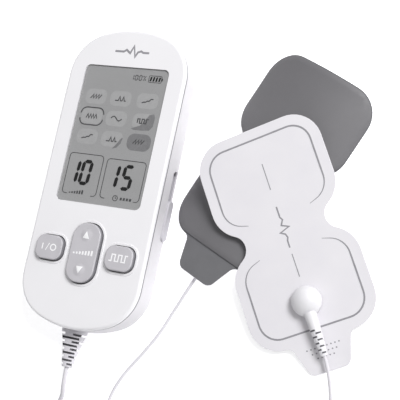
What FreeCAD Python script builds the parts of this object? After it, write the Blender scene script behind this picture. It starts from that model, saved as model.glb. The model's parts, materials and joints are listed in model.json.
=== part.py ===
import FreeCAD, Part
import math
import operator
import os
import Sketcher
from FreeCAD import Placement, Rotation, Vector

# A hand-held nerve stimulator with its lead set and two gel electrode pads, lying on a table.
# Row frame: the origin is the middle of the controller's flat back, on the table.
# +X is to the right of the display, +Y is towards the top of the display, +Z is up through it.
# All sizes are millimetres.

# ---------------------------------------------------------------- driving dimensions
DIMENSIONS = [
    ("case_width", 58.0, "controller, across the display"),
    ("case_length", 134.0, "controller, end to end"),
    ("seam_height", 15.6, "top of the rear shell"),
    ("top_end_radius", 50.0, "bow of the top end"),
    ("top_corner_radius", 20.0, "corners of the top end"),
    ("low_end_radius", 45.0, "bow of the lower end"),
    ("low_corner_radius", 19.0, "corners of the lower end"),
    ("rear_edge_radius", 7.0, "rounding between back and sides"),
    ("wall", 1.8, "rear shell wall"),
    ("trim_height", 0.8, "dark line between the shells"),
    ("trim_inset", 0.05, "how far the trim sits back from the sides"),
    ("front_height", 1.6, "thickness of the front shell's plate"),
    ("front_edge_radius", 1.3, "rounding of the front shell's edge"),
    ("tongue_thickness", 0.8, "locating rib inside the rear shell"),
    ("tongue_depth", 1.8, "how deep the rib reaches below the seam"),
    ("fit_gap", 0.1, "gap between fixed pieces"),
    ("window_width", 41.9, "display opening"),
    ("window_length", 62.7, "display opening"),
    ("window_y", 18.5, "middle of the display"),
    ("window_corner", 2.5, "corner radius of the opening"),
    ("lens_drop", 0.1, "lens top below the face"),
    ("lens_thickness", 0.6, "clear display window"),
    ("holder_rim", 1.2, "width of the display holder's frame"),
    ("glass_thickness", 2.0, "liquid crystal glass"),
    ("glass_drop", 0.1, "liquid crystal glass below its film"),
    ("glass_corner", 0.5, "corner radius of the glass"),
    ("film_drop", 0.05, "display film below the lens"),
    ("polariser_thickness", 0.2, "display film under the window"),
    ("holder_gap", 0.15, "display holder below the front plate"),
    ("backlight_thickness", 2.4, "light panel"),
    ("board_base", 8.8, "underside of the circuit board"),
    ("board_thickness", 1.6, "circuit board"),
    ("board_inset", 2.9, "board edge from the case's side"),
    ("key_x", 17.3, "side keys from the middle"),
    ("key_y", -34.3, "row of keys"),
    ("key_width", 13.4, "side keys"),
    ("key_length", 10.8, "side keys"),
    ("key_corner", 4.0, "side keys' corner radius"),
    ("key_proud", 2.3, "key tops above the face"),
    ("key_edge", 0.7, "rounding of the key tops"),
    ("key_gap", 0.4, "gap round each key"),
    ("flange_margin", 0.8, "key flange beyond the cap"),
    ("flange_thickness", 0.9, "key flange"),
    ("flange_gap", 0.2, "flange below the front plate"),
    ("rim_width", 1.0, "raised rim round each key"),
    ("rim_height", 0.3, "raised rim round each key"),
    ("rocker_width", 13.8, "intensity rocker"),
    ("rocker_length", 26.0, "intensity rocker"),
    ("rocker_corner", 6.2, "intensity rocker's corner radius"),
    ("rocker_base", 13.6, "underside of the rocker"),
    ("pivot_height", 15.2, "rocker's pivot line"),
    ("pivot_radius", 0.9, "rocker's trunnions"),
    ("pivot_clearance", 0.05, "trunnion to lug"),
    ("lug_inner", 7.4, "lug's inner face from the middle"),
    ("lug_outer", 9.2, "lug's outer face from the middle"),
    ("mat_thickness", 0.7, "base sheet of the rubber key mat"),
    ("dome_gap", 0.05, "rubber dome below its key"),
    ("boss_top_x", 19.4, "upper screws from the middle"),
    ("boss_top_y", 56.3, "upper screws"),
    ("boss_low_x", 21.0, "lower screws from the middle"),
    ("boss_low_y", -52.0, "lower screws"),
    ("rear_boss_radius", 3.0, "rear screw posts"),
    ("front_boss_radius", 2.6, "front screw posts"),
    ("screw_radius", 1.0, "screw shank"),
    ("screw_head_radius", 1.9, "screw head"),
    ("screw_head_height", 1.5, "screw head"),
    ("screw_seat", 4.2, "depth of the screw head's seat"),
    ("screw_tip", 14.4, "top of the screws"),
    ("port_y", -14.5, "charging socket"),
    ("port_drop", 1.63, "charging socket's middle below the board"),
    ("port_width", 8.94, "charging socket's shell"),
    ("port_height", 3.26, "charging socket's shell"),
    ("port_depth", 7.3, "charging socket's shell"),
    ("track_floor", 27.0, "floor of the shutter's recess, from the middle"),
    ("track_low_y", -23.0, "lower end of the recess"),
    ("track_length", 31.0, "recess along the side"),
    ("track_height", 4.4, "recess across the side"),
    ("track_back", 1.0, "track behind the recess's floor"),
    ("track_rim", 0.4, "track above and below its grooves"),
    ("track_end", 1.2, "track beyond the recess's ends"),
    ("slot_corner", 2.1, "round ends of the slot in the side"),
    ("slider_length", 17.6, "shutter along the side"),
    ("slider_play", 0.15, "shutter to its grooves"),
    ("slider_proud", 0.9, "shutter beyond the case's side"),
    ("groove_depth", 0.5, "grooves that hold the shutter"),
    ("groove_height", 0.9, "grooves across"),
    ("plug_x", -3.2, "lead plug"),
    ("plug_z", 6.6, "lead plug above the table"),
    ("plug_radius", 1.25, "plug pin"),
    ("plug_clearance", 0.05, "pin to socket"),
    ("plug_length", 11.0, "plug pin"),
    ("socket_face_y", -61.0, "mouth of the lead socket"),
    ("boot_width", 11.5, "plug boot at the case"),
    ("boot_height", 8.0, "plug boot at the case"),
    ("boot_corner", 3.6, "plug boot's corner radius"),
    ("boot_shoulder_y", -67.6, "where the boot starts to taper"),
    ("boot_end_y", -83.0, "cord end of the plug boot"),
    ("boot_end_width", 4.8, "cord end of the plug boot"),
    ("boot_gap", 0.4, "boot to the case's opening"),
    ("trunk_diameter", 2.0, "cord from the plug to the splitter"),
    ("branch_diameter", 1.4, "cord from the splitter to a pad"),
    ("trunk_coil_radius", 11.0, "trunk coil at the middle of its turns"),
    ("trunk_coil_width", 12.0, "trunk coil's band"),
    ("coil_a_radius", 8.4, "branch a coil at the middle of its turns"),
    ("coil_b_radius", 7.7, "branch b coil at the middle of its turns"),
    ("branch_coil_width", 5.1, "branch coils' band"),
    ("splitter_length", 12.0, "splitter body"),
    ("splitter_width", 6.4, "splitter body"),
    ("splitter_height", 3.2, "splitter body"),
    ("pad_width", 54.0, "electrode pad"),
    ("lobe_length", 45.0, "each of the two lobes"),
    ("lobe_corner", 12.6, "outer corners of the lobes"),
    ("waist_corner", 13.0, "inner corners of the lobes"),
    ("waist_half", 17.6, "half width at the waist"),
    ("waist_radius", 6.0, "notch at the waist"),
    ("stud_to_waist", 29.25, "stud from the waist"),
    ("tab_length", 13.0, "grip tab"),
    ("tab_root_half", 11.8, "half width of the tab where it starts"),
    ("tab_end_half", 9.4, "half width of the tab at its end"),
    ("tab_root_radius", 3.4, "fillet at the tab's root"),
    ("tab_corner", 3.6, "corners of the tab's end"),
    ("backing_thickness", 0.45, "white backing"),
    ("film_thickness", 0.35, "carbon film"),
    ("gel_thickness", 0.8, "adhesive gel"),
    ("film_inset", 0.1, "film's edge from the backing's"),
    ("gel_inset", 0.7, "gel's edge from the backing's"),
    ("curl_radius", 58.0, "natural curl of the pad that lies gel side up"),
    ("stud_radius", 1.95, "snap stud"),
    ("stud_clearance", 0.05, "stud to snap ring"),
    ("snap_radius", 6.2, "snap housing"),
    ("snap_rise", 0.75, "snap housing above the backing"),
    ("snap_height", 6.3, "top of the snap housing above the backing"),
    ("snap_dome_radius", 7.47, "crown of the snap housing"),
    ("snap_lead_height", 2.9, "cord above the backing"),
    ("neck_radius", 2.3, "snap housing's neck"),
    ("neck_end", 11.0, "neck from the stud"),
    ("snap_boot_end", 22.5, "end of the snap's strain relief from the stud"),
    ("snap_boot_tip", 1.5, "radius at the strain relief's end"),
    ("pad_a_x", 97.0, "stud of pad a"),
    ("pad_a_y", -37.0, "stud of pad a"),
    ("pad_a_turn", 28.0, "pad a turned left from +Y, degrees"),
    ("pad_a_slope", 8.6, "pad a rises over pad b, degrees"),
    ("pad_b_x", 58.0, "stud of pad b"),
    ("pad_b_y", -9.0, "stud of pad b"),
    ("pad_b_turn", -24.0, "pad b turned right from +Y, degrees"),
    ("pad_b_height", 6.4, "backing of pad b above the table at its stud"),
]

doc = FreeCAD.newDocument("nerve_stimulator")
sheet = doc.addObject("Spreadsheet::Sheet", "Sizes")
for row, (alias, number, note) in enumerate(DIMENSIONS, start=1):
    sheet.set("A%d" % row, alias)
    sheet.set("B%d" % row, str(number))
    sheet.set("C%d" % row, note)
    sheet.setAlias("B%d" % row, alias)
doc.recompute()


# ---------------------------------------------------------------- sizes that stay bound to the sheet
class Dim:
    """A size worked out from the sheet: its value now, and the expression that binds it."""

    def __init__(self, value, text):
        self.value = float(value)
        self.text = text

    def __add__(self, other):
        return joined(self, "+", other, operator.add)

    def __radd__(self, other):
        return joined(other, "+", self, operator.add)

    def __sub__(self, other):
        return joined(self, "-", other, operator.sub)

    def __rsub__(self, other):
        return joined(other, "-", self, operator.sub)

    def __mul__(self, other):
        return joined(self, "*", other, operator.mul)

    def __rmul__(self, other):
        return joined(other, "*", self, operator.mul)

    def __truediv__(self, other):
        return joined(self, "/", other, operator.truediv)

    def __neg__(self):
        return Dim(-self.value, "(0 - %s)" % self.text)


def as_dim(size):
    return size if isinstance(size, Dim) else Dim(size, repr(float(size)))


def joined(left, sign, right, how):
    left, right = as_dim(left), as_dim(right)
    return Dim(how(left.value, right.value), "(%s %s %s)" % (left.text, sign, right.text))


def root(size):
    return Dim(math.sqrt(size.value), "sqrt(%s)" % size.text)


class Sheet:
    """S.case_width is the cell of that name, as a Dim."""

    def __getattr__(self, alias):
        return Dim(sheet.get(alias), "Sizes.%s" % alias)


S = Sheet()


def bind(thing, prop, size):
    """Set a property and tie it to the sheet."""
    thing.setExpression(prop, as_dim(size).text)


def place(thing, at):
    for axis, size in zip("xyz", at):
        bind(thing, "Placement.Base.%s" % axis, size)


# ---------------------------------------------------------------- solids
nodes = {}


def node(thing, label):
    """Name a finished sub-part."""
    thing.Label = label
    nodes[label] = thing
    return thing


def box(name, low, size):
    made = doc.addObject("Part::Box", name)
    for prop, value in zip(("Length", "Width", "Height"), size):
        bind(made, prop, value)
    place(made, low)
    return made


def middle_box(name, centre, size):
    """A box given by the middle of its base."""
    x, y, z = centre
    return box(name, (x - size[0] / 2, y - size[1] / 2, z), size)


def cylinder(name, radius, length, at, turn=None):
    made = doc.addObject("Part::Cylinder", name)
    bind(made, "Radius", radius)
    bind(made, "Height", length)
    if turn:
        made.Placement = Placement(Vector(), turn)
    place(made, at)
    return made


TOWARDS_LOWER_END = Rotation(Vector(1, 0, 0), 90)
TOWARDS_RIGHT = Rotation(Vector(0, 1, 0), 90)


def fuse(name, pieces):
    made = doc.addObject("Part::MultiFuse", name)
    made.Shapes = pieces
    return made


def cut(name, base, tools):
    made = doc.addObject("Part::Cut", name)
    made.Base = base
    made.Tool = tools[0] if len(tools) == 1 else fuse(name + "_tools", tools)
    return made


def common(name, base, tool):
    made = doc.addObject("Part::Common", name)
    made.Base = base
    made.Tool = tool
    return made


# ---------------------------------------------------------------- sketches of tangent arcs
class Bend:
    """One arc of an outline walked anticlockwise. A hollow bend turns the other way."""

    def __init__(self, x, y, radius, hollow=False, slides=False):
        self.x, self.y, self.radius = as_dim(x), as_dim(y), as_dim(radius)
        self.side = -1 if hollow else 1
        self.slides = slides

    def centre(self):
        return Vector(self.x.value, self.y.value, 0)

    def polar(self, heading):
        return heading - self.side * math.pi / 2

    def point(self, heading):
        angle = self.polar(heading)
        return self.centre() + Vector(math.cos(angle), math.sin(angle), 0) * self.radius.value


def tangent_heading(first, second):
    """Direction of the line that leaves the first arc and meets the second."""
    gap = second.centre() - first.centre()
    step = second.side * second.radius.value - first.side * first.radius.value
    ratio = max(-1.0, min(1.0, step / gap.Length))
    return math.atan2(gap.y, gap.x) - math.asin(ratio)


def pin_centre(sketch, index, bend):
    if abs(bend.x.value) < 1e-9:
        sketch.addConstraint(Sketcher.Constraint("PointOnObject", index, 3, -2))
    else:
        number = sketch.addConstraint(Sketcher.Constraint("DistanceX", -1, 1, index, 3, bend.x.value))
        bind(sketch, "Constraints[%d]" % number, bend.x)
    if bend.slides:
        return
    if abs(bend.y.value) < 1e-9:
        sketch.addConstraint(Sketcher.Constraint("PointOnObject", index, 3, -1))
    else:
        number = sketch.addConstraint(Sketcher.Constraint("DistanceY", -1, 1, index, 3, bend.y.value))
        bind(sketch, "Constraints[%d]" % number, bend.y)


def draw_outline(sketch, bends):
    """Arcs joined by tangent lines, or straight to each other where they already touch."""
    touching = 1e-5
    up = Vector(0, 0, 1)
    count = len(bends)
    headings = [tangent_heading(bends[i], bends[(i + 1) % count]) for i in range(count)]
    walk = []
    for i, bend in enumerate(bends):
        enter, leave = bend.polar(headings[i - 1]), bend.polar(headings[i])
        ends = (enter, leave) if bend.side > 0 else (leave, enter)
        circle = Part.Circle(bend.centre(), up, bend.radius.value)
        index = sketch.addGeometry(Part.ArcOfCircle(circle, *ends), False)
        number = sketch.addConstraint(Sketcher.Constraint("Radius", index, bend.radius.value))
        bind(sketch, "Constraints[%d]" % number, bend.radius)
        pin_centre(sketch, index, bend)
        walk.append((index, 1, 2) if bend.side > 0 else (index, 2, 1))
        after = bends[(i + 1) % count]
        start, end = bend.point(headings[i]), after.point(headings[i])
        if (end - start).Length > touching:
            line = sketch.addGeometry(Part.LineSegment(start, end), False)
            walk.append((line, 1, 2))
    for here, there in zip(walk, walk[1:] + walk[:1]):
        sketch.addConstraint(Sketcher.Constraint("Tangent", here[0], here[2], there[0], there[1]))


def plane(body, role):
    return next(item for item in body.Origin.OriginFeatures if item.Role == role)


def outline_sketch(body, name, bends, offset, role="XY_Plane"):
    sketch = body.newObject("Sketcher::SketchObject", name)
    sketch.AttachmentSupport = (plane(body, role), [""])
    sketch.MapMode = "FlatFace"
    bind(sketch, "AttachmentOffset.Base.z", offset)
    draw_outline(sketch, bends)
    return sketch


def new_body(name):
    return doc.addObject("PartDesign::Body", name)


def add_pad(body, name, bends, low, high, role="XY_Plane"):
    sketch = outline_sketch(body, name + "_sketch", bends, low, role)
    pad = body.newObject("PartDesign::Pad", name)
    pad.Profile = sketch
    bind(pad, "Length", high - low)
    return pad


def add_pocket(body, name, bends, top, depth):
    sketch = outline_sketch(body, name + "_sketch", bends, top)
    pocket = body.newObject("PartDesign::Pocket", name)
    pocket.Profile = sketch
    bind(pocket, "Length", depth)
    return pocket


def round_edges(body, name, radius, height):
    """Fillet every edge that lies wholly at one height."""
    doc.recompute()
    near = 1e-4
    base = body.Tip
    chosen = []
    for number, edge in enumerate(base.Shape.Edges, start=1):
        limits = edge.BoundBox
        if abs(limits.ZMin - height.value) < near and abs(limits.ZMax - height.value) < near:
            chosen.append("Edge%d" % number)
    fillet = body.newObject("PartDesign::Fillet", name)
    fillet.Base = (base, chosen)
    bind(fillet, "Radius", radius)
    return fillet


def plate(name, bends, low, high):
    body = new_body(name)
    add_pad(body, name + "_pad", bends, low, high)
    return body


def rounded_rectangle(x, y, width, length, corner, grow=0.0):
    """Corner arcs of a rectangle, anticlockwise from the upper right one."""
    x, y = as_dim(x), as_dim(y)
    half_x = width / 2 - corner
    half_y = length / 2 - corner
    radius = corner + grow
    corners = ((1, 1), (-1, 1), (-1, -1), (1, -1))
    return [Bend(x + half_x * a, y + half_y * b, radius) for a, b in corners]


def corner_height(end_radius, corner_radius):
    """Where a corner arc's centre lies beyond the middle of the case."""
    reach = end_radius - corner_radius
    across = S.case_width / 2 - corner_radius
    return S.case_length / 2 - end_radius + root(reach * reach - across * across)


def case_outline(inset=0.0):
    """The controller seen from the front: two straight sides, two bowed ends, four corners."""
    top_x = S.case_width / 2 - S.top_corner_radius
    low_x = S.case_width / 2 - S.low_corner_radius
    top_y = corner_height(S.top_end_radius, S.top_corner_radius)
    low_y = -corner_height(S.low_end_radius, S.low_corner_radius)
    top_r = S.top_corner_radius - inset
    low_r = S.low_corner_radius - inset
    return [
        Bend(0, S.case_length / 2 - S.top_end_radius, S.top_end_radius - inset),
        Bend(-top_x, top_y, top_r, slides=True),
        Bend(-low_x, low_y, low_r, slides=True),
        Bend(0, S.low_end_radius - S.case_length / 2, S.low_end_radius - inset),
        Bend(low_x, low_y, low_r, slides=True),
        Bend(top_x, top_y, top_r, slides=True),
    ]


# ---------------------------------------------------------------- derived heights and places
board_top = S.board_base + S.board_thickness
trim_top = S.seam_height + S.trim_height
face = trim_top + S.front_height
key_top = face + S.key_proud
flange_top = trim_top - S.flange_gap
flange_base = flange_top - S.flange_thickness
lens_top = face - S.lens_drop
lens_base = lens_top - S.lens_thickness
polariser_top = lens_base - S.film_drop
holder_top = trim_top - S.holder_gap
glass_top = polariser_top - S.polariser_thickness - S.glass_drop
glass_base = glass_top - S.glass_thickness
backlight_top = board_top + S.backlight_thickness
port_z = S.board_base - S.port_drop
lip_inner = S.track_floor + S.groove_height
screw_places = [
    (S.boss_top_x, S.boss_top_y),
    (-S.boss_top_x, S.boss_top_y),
    (S.boss_low_x, S.boss_low_y),
    (-S.boss_low_x, S.boss_low_y),
]


def at_each_screw(name, radius, low, high):
    return [
        cylinder("%s_%d" % (name, number), radius, high - low, (x, y, low))
        for number, (x, y) in enumerate(screw_places, start=1)
    ]


def key_outline(x, grow=0.0):
    return rounded_rectangle(x, S.key_y, S.key_width, S.key_length, S.key_corner, grow)


def rocker_outline(grow=0.0):
    return rounded_rectangle(0, S.key_y, S.rocker_width, S.rocker_length, S.rocker_corner, grow)


# ---------------------------------------------------------------- shells
def track_block(name, margin):
    """The block behind the right side's wall that the charging port's shutter runs in."""
    low_x = S.track_floor - S.track_back - margin
    depth = lip_inner - S.fit_gap + margin - low_x
    across = S.track_height + 2 * (S.groove_depth + S.track_rim + margin)
    along = S.track_length + 2 * (S.track_end + margin)
    low = (low_x, S.track_low_y - S.track_end - margin, port_z - across / 2)
    return box(name, low, (depth, along, across))


def make_side_slot():
    """The round-ended slot in the rear shell's right wall."""
    slot = new_body("side_slot")
    middle_y = S.track_low_y + S.track_length / 2
    bends = rounded_rectangle(middle_y, port_z, S.track_length, S.track_height, S.slot_corner)
    add_pad(slot, "side_slot_pad", bends, lip_inner - S.slot_corner, S.case_width / 2 + 2, "YZ_Plane")
    return slot


def make_rear_shell():
    body = new_body("rear_tub")
    add_pad(body, "rear_outer", case_outline(), as_dim(0), S.seam_height)
    round_edges(body, "rear_edge", S.rear_edge_radius, as_dim(0))
    core = plate("rear_core", case_outline(S.wall), S.wall, S.seam_height + 1)
    round_edges(core, "rear_core_edge", S.rear_edge_radius - S.wall, S.wall)
    hollow = cut("rear_hollow", body, [core])
    posts = at_each_screw("rear_post", S.rear_boss_radius, S.wall / 2, S.board_base)
    solid = fuse("rear_with_posts", [hollow] + posts)
    seats = at_each_screw("rear_seat", S.screw_head_radius + 0.2, as_dim(-1), S.screw_seat)
    holes = at_each_screw("rear_hole", S.screw_radius + 0.1, as_dim(0), S.board_base + 1)
    width = S.boot_width + 2 * S.boot_gap
    height = S.boot_height + 2 * S.boot_gap
    mouth = new_body("rear_mouth")
    bends = rounded_rectangle(S.plug_x, S.plug_z, width, height, S.boot_corner + S.boot_gap)
    add_pad(mouth, "rear_mouth_pad", bends, -S.socket_face_y, S.case_length / 2 + 2, "XZ_Plane")
    tools = seats + holes + [mouth, track_block("rear_track_room", S.fit_gap), make_side_slot()]
    node(cut("rear_shell", solid, tools), "rear_shell")


def make_seam_trim():
    body = plate("seam_trim", case_outline(S.trim_inset), S.seam_height, trim_top)
    add_pocket(body, "seam_trim_inside", case_outline(S.wall), trim_top, S.trim_height)
    node(body, "seam_trim")


def make_front_shell():
    body = new_body("front_plate")
    add_pad(body, "front_face", case_outline(), trim_top, face)
    round_edges(body, "front_edge", S.front_edge_radius, face)
    rib_inset = S.wall + S.fit_gap
    rib = plate("front_rib", case_outline(rib_inset), S.seam_height - S.tongue_depth, trim_top)
    rib_inside = case_outline(rib_inset + S.tongue_thickness)
    add_pocket(rib, "front_rib_inside", rib_inside, trim_top, S.tongue_depth + S.trim_height)
    rims = []
    outlines = {"power": key_outline(-S.key_x, S.key_gap + S.rim_width),
                "mode": key_outline(S.key_x, S.key_gap + S.rim_width),
                "rocker": rocker_outline(S.key_gap + S.rim_width)}
    for name, bends in outlines.items():
        rim = plate("rim_" + name, bends, face - 0.5, face + S.rim_height)
        round_edges(rim, "rim_edge_" + name, S.rim_height * 0.9, face + S.rim_height)
        rims.append(rim)
    posts = at_each_screw("front_post", S.front_boss_radius, board_top, face - 0.5)
    lugs = []
    lug_drop = trim_top - S.pivot_height + S.pivot_radius + 0.5
    for name, side in (("left", -1), ("right", 1)):
        middle = side * (S.lug_inner + S.lug_outer) / 2
        low = (middle, S.key_y, trim_top - lug_drop)
        lugs.append(middle_box("lug_" + name, low, (S.lug_outer - S.lug_inner, as_dim(4.2), lug_drop + 0.5)))
    solid = fuse("front_with_posts", [body, rib] + rims + posts + lugs)
    low = S.rocker_base - 1
    high = face + 1
    window = rounded_rectangle(0, S.window_y, S.window_width, S.window_length, S.window_corner)
    tools = [plate("window_hole", window, trim_top - 1, high)]
    tools.append(plate("power_hole", key_outline(-S.key_x, S.key_gap), low, high))
    tools.append(plate("mode_hole", key_outline(S.key_x, S.key_gap), low, high))
    tools.append(plate("rocker_hole", rocker_outline(S.key_gap), low, high))
    tools += at_each_screw("pilot", S.screw_radius + 0.02, as_dim(10), S.screw_tip + 0.3)
    pivot = S.pivot_radius + S.pivot_clearance
    across = 2 * S.lug_outer + 2
    tools.append(cylinder("pivot_hole", pivot, across, (-across / 2, S.key_y, S.pivot_height), TOWARDS_RIGHT))
    node(cut("front_shell", solid, tools), "front_shell")


def make_case_screws():
    heads = at_each_screw("screw_head", S.screw_head_radius, S.screw_seat - S.screw_head_height, S.screw_seat)
    shanks = at_each_screw("screw_shank", S.screw_radius, S.screw_seat - 0.5, S.screw_tip)
    node(fuse("case_screws", heads + shanks), "case_screws")


# ---------------------------------------------------------------- display
def make_display():
    gap = 2 * S.fit_gap
    width, length = S.window_width - gap, S.window_length - gap
    lens = rounded_rectangle(0, S.window_y, width, length, S.window_corner - S.fit_gap)
    node(plate("display_window", lens, lens_base, lens_top), "display_window")
    rim = 2 * S.holder_rim
    outer = rounded_rectangle(0, S.window_y, width + rim, length + rim, S.window_corner)
    inner = rounded_rectangle(0, S.window_y, width - rim / 2, length - rim / 2, as_dim(0.3))
    holder = plate("lcd_holder", outer, board_top, holder_top)
    add_pocket(holder, "lcd_holder_inside", inner, holder_top, holder_top - board_top)
    node(holder, "lcd_holder")
    inside = (width - rim / 2 - gap, length - rim / 2 - gap)
    centre = (as_dim(0), S.window_y)
    film = rounded_rectangle(0, S.window_y, width - S.fit_gap, length - S.fit_gap, S.window_corner - gap)
    film_base = polariser_top - S.polariser_thickness
    node(plate("lcd_polariser", film, film_base, polariser_top), "lcd_polariser")
    glass = rounded_rectangle(0, S.window_y, inside[0], inside[1], S.glass_corner)
    node(plate("lcd_glass", glass, glass_base, glass_top), "lcd_glass")
    strip = as_dim(2.2)
    low_y = S.window_y - inside[1] / 2
    connector = middle_box("zebra_strip", (as_dim(0), low_y + strip / 2, board_top),
                           (inside[0] - 2, strip, glass_base - board_top))
    node(connector, "zebra_strip")
    light_length = inside[1] - strip - 0.6
    light = middle_box("backlight", (as_dim(0), S.window_y + (strip + 0.6) / 2, board_top),
                       (inside[0], light_length, S.backlight_thickness))
    node(light, "backlight")


# ---------------------------------------------------------------- keys
def make_side_key(label, x):
    body = new_body(label)
    add_pad(body, label + "_flange", key_outline(x, S.flange_margin), flange_base, flange_top)
    add_pad(body, label + "_cap", key_outline(x), flange_base, key_top)
    round_edges(body, label + "_edge", S.key_edge, key_top)
    node(body, label)


def make_rocker():
    body = new_body("rocker_cap")
    add_pad(body, "rocker_cap_pad", rocker_outline(), S.rocker_base, key_top)
    round_edges(body, "rocker_edge", S.key_edge, key_top)
    across = 2 * S.lug_outer - 0.4
    at = (-across / 2, S.key_y, S.pivot_height)
    pivot = cylinder("rocker_pivot", S.pivot_radius, across, at, TOWARDS_RIGHT)
    node(fuse("intensity_key", [body, pivot]), "intensity_key")


def make_key_mat():
    """Rubber sheet on the board with a dome under each key, and two under the rocker."""
    base = rounded_rectangle(0, S.key_y, as_dim(50), as_dim(27), as_dim(3))
    pieces = [plate("mat_sheet", base, board_top, board_top + S.mat_thickness)]
    for name, x in (("power", -S.key_x), ("mode", S.key_x)):
        height = flange_base - S.dome_gap - board_top
        pieces.append(cylinder("dome_" + name, as_dim(3.2), height, (x, S.key_y, board_top)))
    for name, side in (("up", 1), ("down", -1)):
        height = S.rocker_base - S.dome_gap - board_top
        at = (as_dim(0), S.key_y + side * 8.0, board_top)
        pieces.append(cylinder("dome_" + name, as_dim(2.6), height, at))
    node(fuse("key_mat", pieces), "key_mat")


# ---------------------------------------------------------------- electronics
def make_circuit_board():
    board = plate("board_blank", case_outline(S.board_inset), S.board_base, board_top)
    tools = at_each_screw("board_hole", S.screw_radius + 0.2, S.board_base - 1, board_top + 1)
    slack = 0.5
    notch_end = S.socket_face_y + slack
    notch_length = notch_end + S.case_length / 2
    plug_notch = (S.plug_x, notch_end - notch_length / 2, S.board_base - 1)
    tools.append(middle_box("board_plug_notch", plug_notch, (S.boot_width + 2, notch_length, as_dim(4))))
    tools.append(track_block("board_track_notch", as_dim(slack)))
    node(cut("circuit_board", board, tools), "circuit_board")


def hang(label, x, y, size):
    """A component soldered under the board."""
    width, length, height = (as_dim(value) for value in size)
    part = middle_box(label, (as_dim(x), as_dim(y), S.board_base - height), (width, length, height))
    return node(part, label)


def make_components():
    hang("microcontroller", -6.0, -18.0, (9.0, 9.0, 1.2))
    hang("charge_controller", 13.0, -14.0, (4.0, 4.0, 0.9))
    hang("power_transistors", 2.0, -46.0, (6.0, 5.0, 1.6))
    buzzer_height = as_dim(3.2)
    at = (as_dim(8), as_dim(54.5), S.board_base - buzzer_height)
    node(cylinder("buzzer", as_dim(4.5), buzzer_height, at), "buzzer")
    can_height = as_dim(6.4)
    cans = []
    for number, y in enumerate((-28.0, -36.0), start=1):
        at = (as_dim(-15), as_dim(y), S.board_base - can_height)
        cans.append(cylinder("can_%d" % number, as_dim(3.15), can_height, at))
    pair = doc.addObject("Part::Compound", "capacitors")
    pair.Links = cans
    node(pair, "capacitors")
    make_transformer()
    make_battery()


def make_transformer():
    """Output transformer: a core frame round a wound bobbin."""
    x, y = as_dim(13), as_dim(-34)
    height = as_dim(6.6)
    low = S.board_base - height
    block = middle_box("core_block", (x, y, low), (as_dim(13), as_dim(11), height))
    windows = [middle_box("core_window_%d" % number, (x + side * 3.6, y, low + 1.5),
                          (as_dim(3), as_dim(12), height - 3))
               for number, side in enumerate((-1, 1), start=1)]
    node(cut("transformer_core", block, windows), "transformer_core")
    coils = [middle_box("winding_%d" % number, (x + side * 3.6, y, low + 1.55),
                        (as_dim(2.9), as_dim(9), height - 3.1))
             for number, side in enumerate((-1, 1), start=1)]
    winding = doc.addObject("Part::Compound", "transformer_winding")
    winding.Links = coils
    node(winding, "transformer_winding")


def make_battery():
    cell = rounded_rectangle(0, 21.0, as_dim(34), as_dim(50), as_dim(2))
    low = S.wall + 0.1
    thickness = 5.4
    node(plate("battery_cell", cell, low, low + thickness), "battery_cell")
    foam = (as_dim(28), as_dim(42), S.board_base - low - thickness - 0.1)
    node(middle_box("battery_foam", (as_dim(0), as_dim(21), low + thickness), foam), "battery_foam")


def make_charging_socket():
    """Metal shell with a tongue, open to the right side."""
    end = S.track_floor - 0.1
    size = (S.port_depth, S.port_width, S.port_height)
    shell = middle_box("port_shell", (end - S.port_depth / 2, S.port_y, port_z - S.port_height / 2), size)
    hollow_size = (S.port_depth, S.port_width - 0.6, S.port_height - 0.6)
    hollow = middle_box("port_hollow", (end - S.port_depth / 2 + 0.8, S.port_y, port_z - S.port_height / 2 + 0.3),
                        hollow_size)
    cup = cut("port_cup", shell, [hollow])
    tongue = middle_box("port_tongue", (end - S.port_depth / 2 - 0.5, S.port_y, port_z - 0.35),
                        (S.port_depth - 1.2, S.port_width - 2.2, as_dim(0.7)))
    node(fuse("charging_socket", [cup, tongue]), "charging_socket")


def make_shutter():
    """Grooved insert behind the side's slot, and the shutter that slides in it over the charging socket."""
    middle_y = S.track_low_y + S.track_length / 2
    groove_size = (S.groove_height, S.track_length, S.track_height + 2 * S.groove_depth)
    grooves = middle_box("track_grooves", (S.track_floor + S.groove_height / 2, middle_y,
                                           port_z - groove_size[2] / 2), groove_size)
    mouth = middle_box("track_mouth", (S.track_floor, S.port_y, port_z - S.port_height / 2 - 0.12),
                       (as_dim(4), S.port_width + 0.3, S.port_height + 0.24))
    node(cut("port_track", track_block("track_blank", 0.0), [grooves, mouth]), "port_track")
    play = S.slider_play
    slider_y = S.track_low_y + play + S.slider_length / 2
    foot_size = (S.groove_height - 2 * play, S.slider_length, groove_size[2] - 2 * play)
    foot = middle_box("slider_foot", (S.track_floor + S.groove_height / 2, slider_y,
                                      port_z - foot_size[2] / 2), foot_size)
    knob_end = S.case_width / 2 + S.slider_proud
    knob_start = S.track_floor + S.groove_height / 2
    knob = new_body("slider_knob")
    bends = rounded_rectangle(slider_y, port_z, S.slider_length, S.track_height - 2 * play, as_dim(1.9))
    add_pad(knob, "slider_knob_pad", bends, knob_start, knob_end, "YZ_Plane")
    node(fuse("port_slider", [foot, knob]), "port_slider")


# ---------------------------------------------------------------- lead plug
def make_lead_socket():
    face_y = S.socket_face_y
    body = middle_box("socket_block", (S.plug_x, face_y + 6.2, S.plug_z - 2.2), (as_dim(7), as_dim(12.4), as_dim(4.4)))
    bore = cylinder("socket_bore", S.plug_radius + S.plug_clearance, S.plug_length + 1.4,
                    (S.plug_x, face_y + S.plug_length + 0.4, S.plug_z), TOWARDS_LOWER_END)
    node(cut("lead_socket", body, [bore]), "lead_socket")


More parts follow.
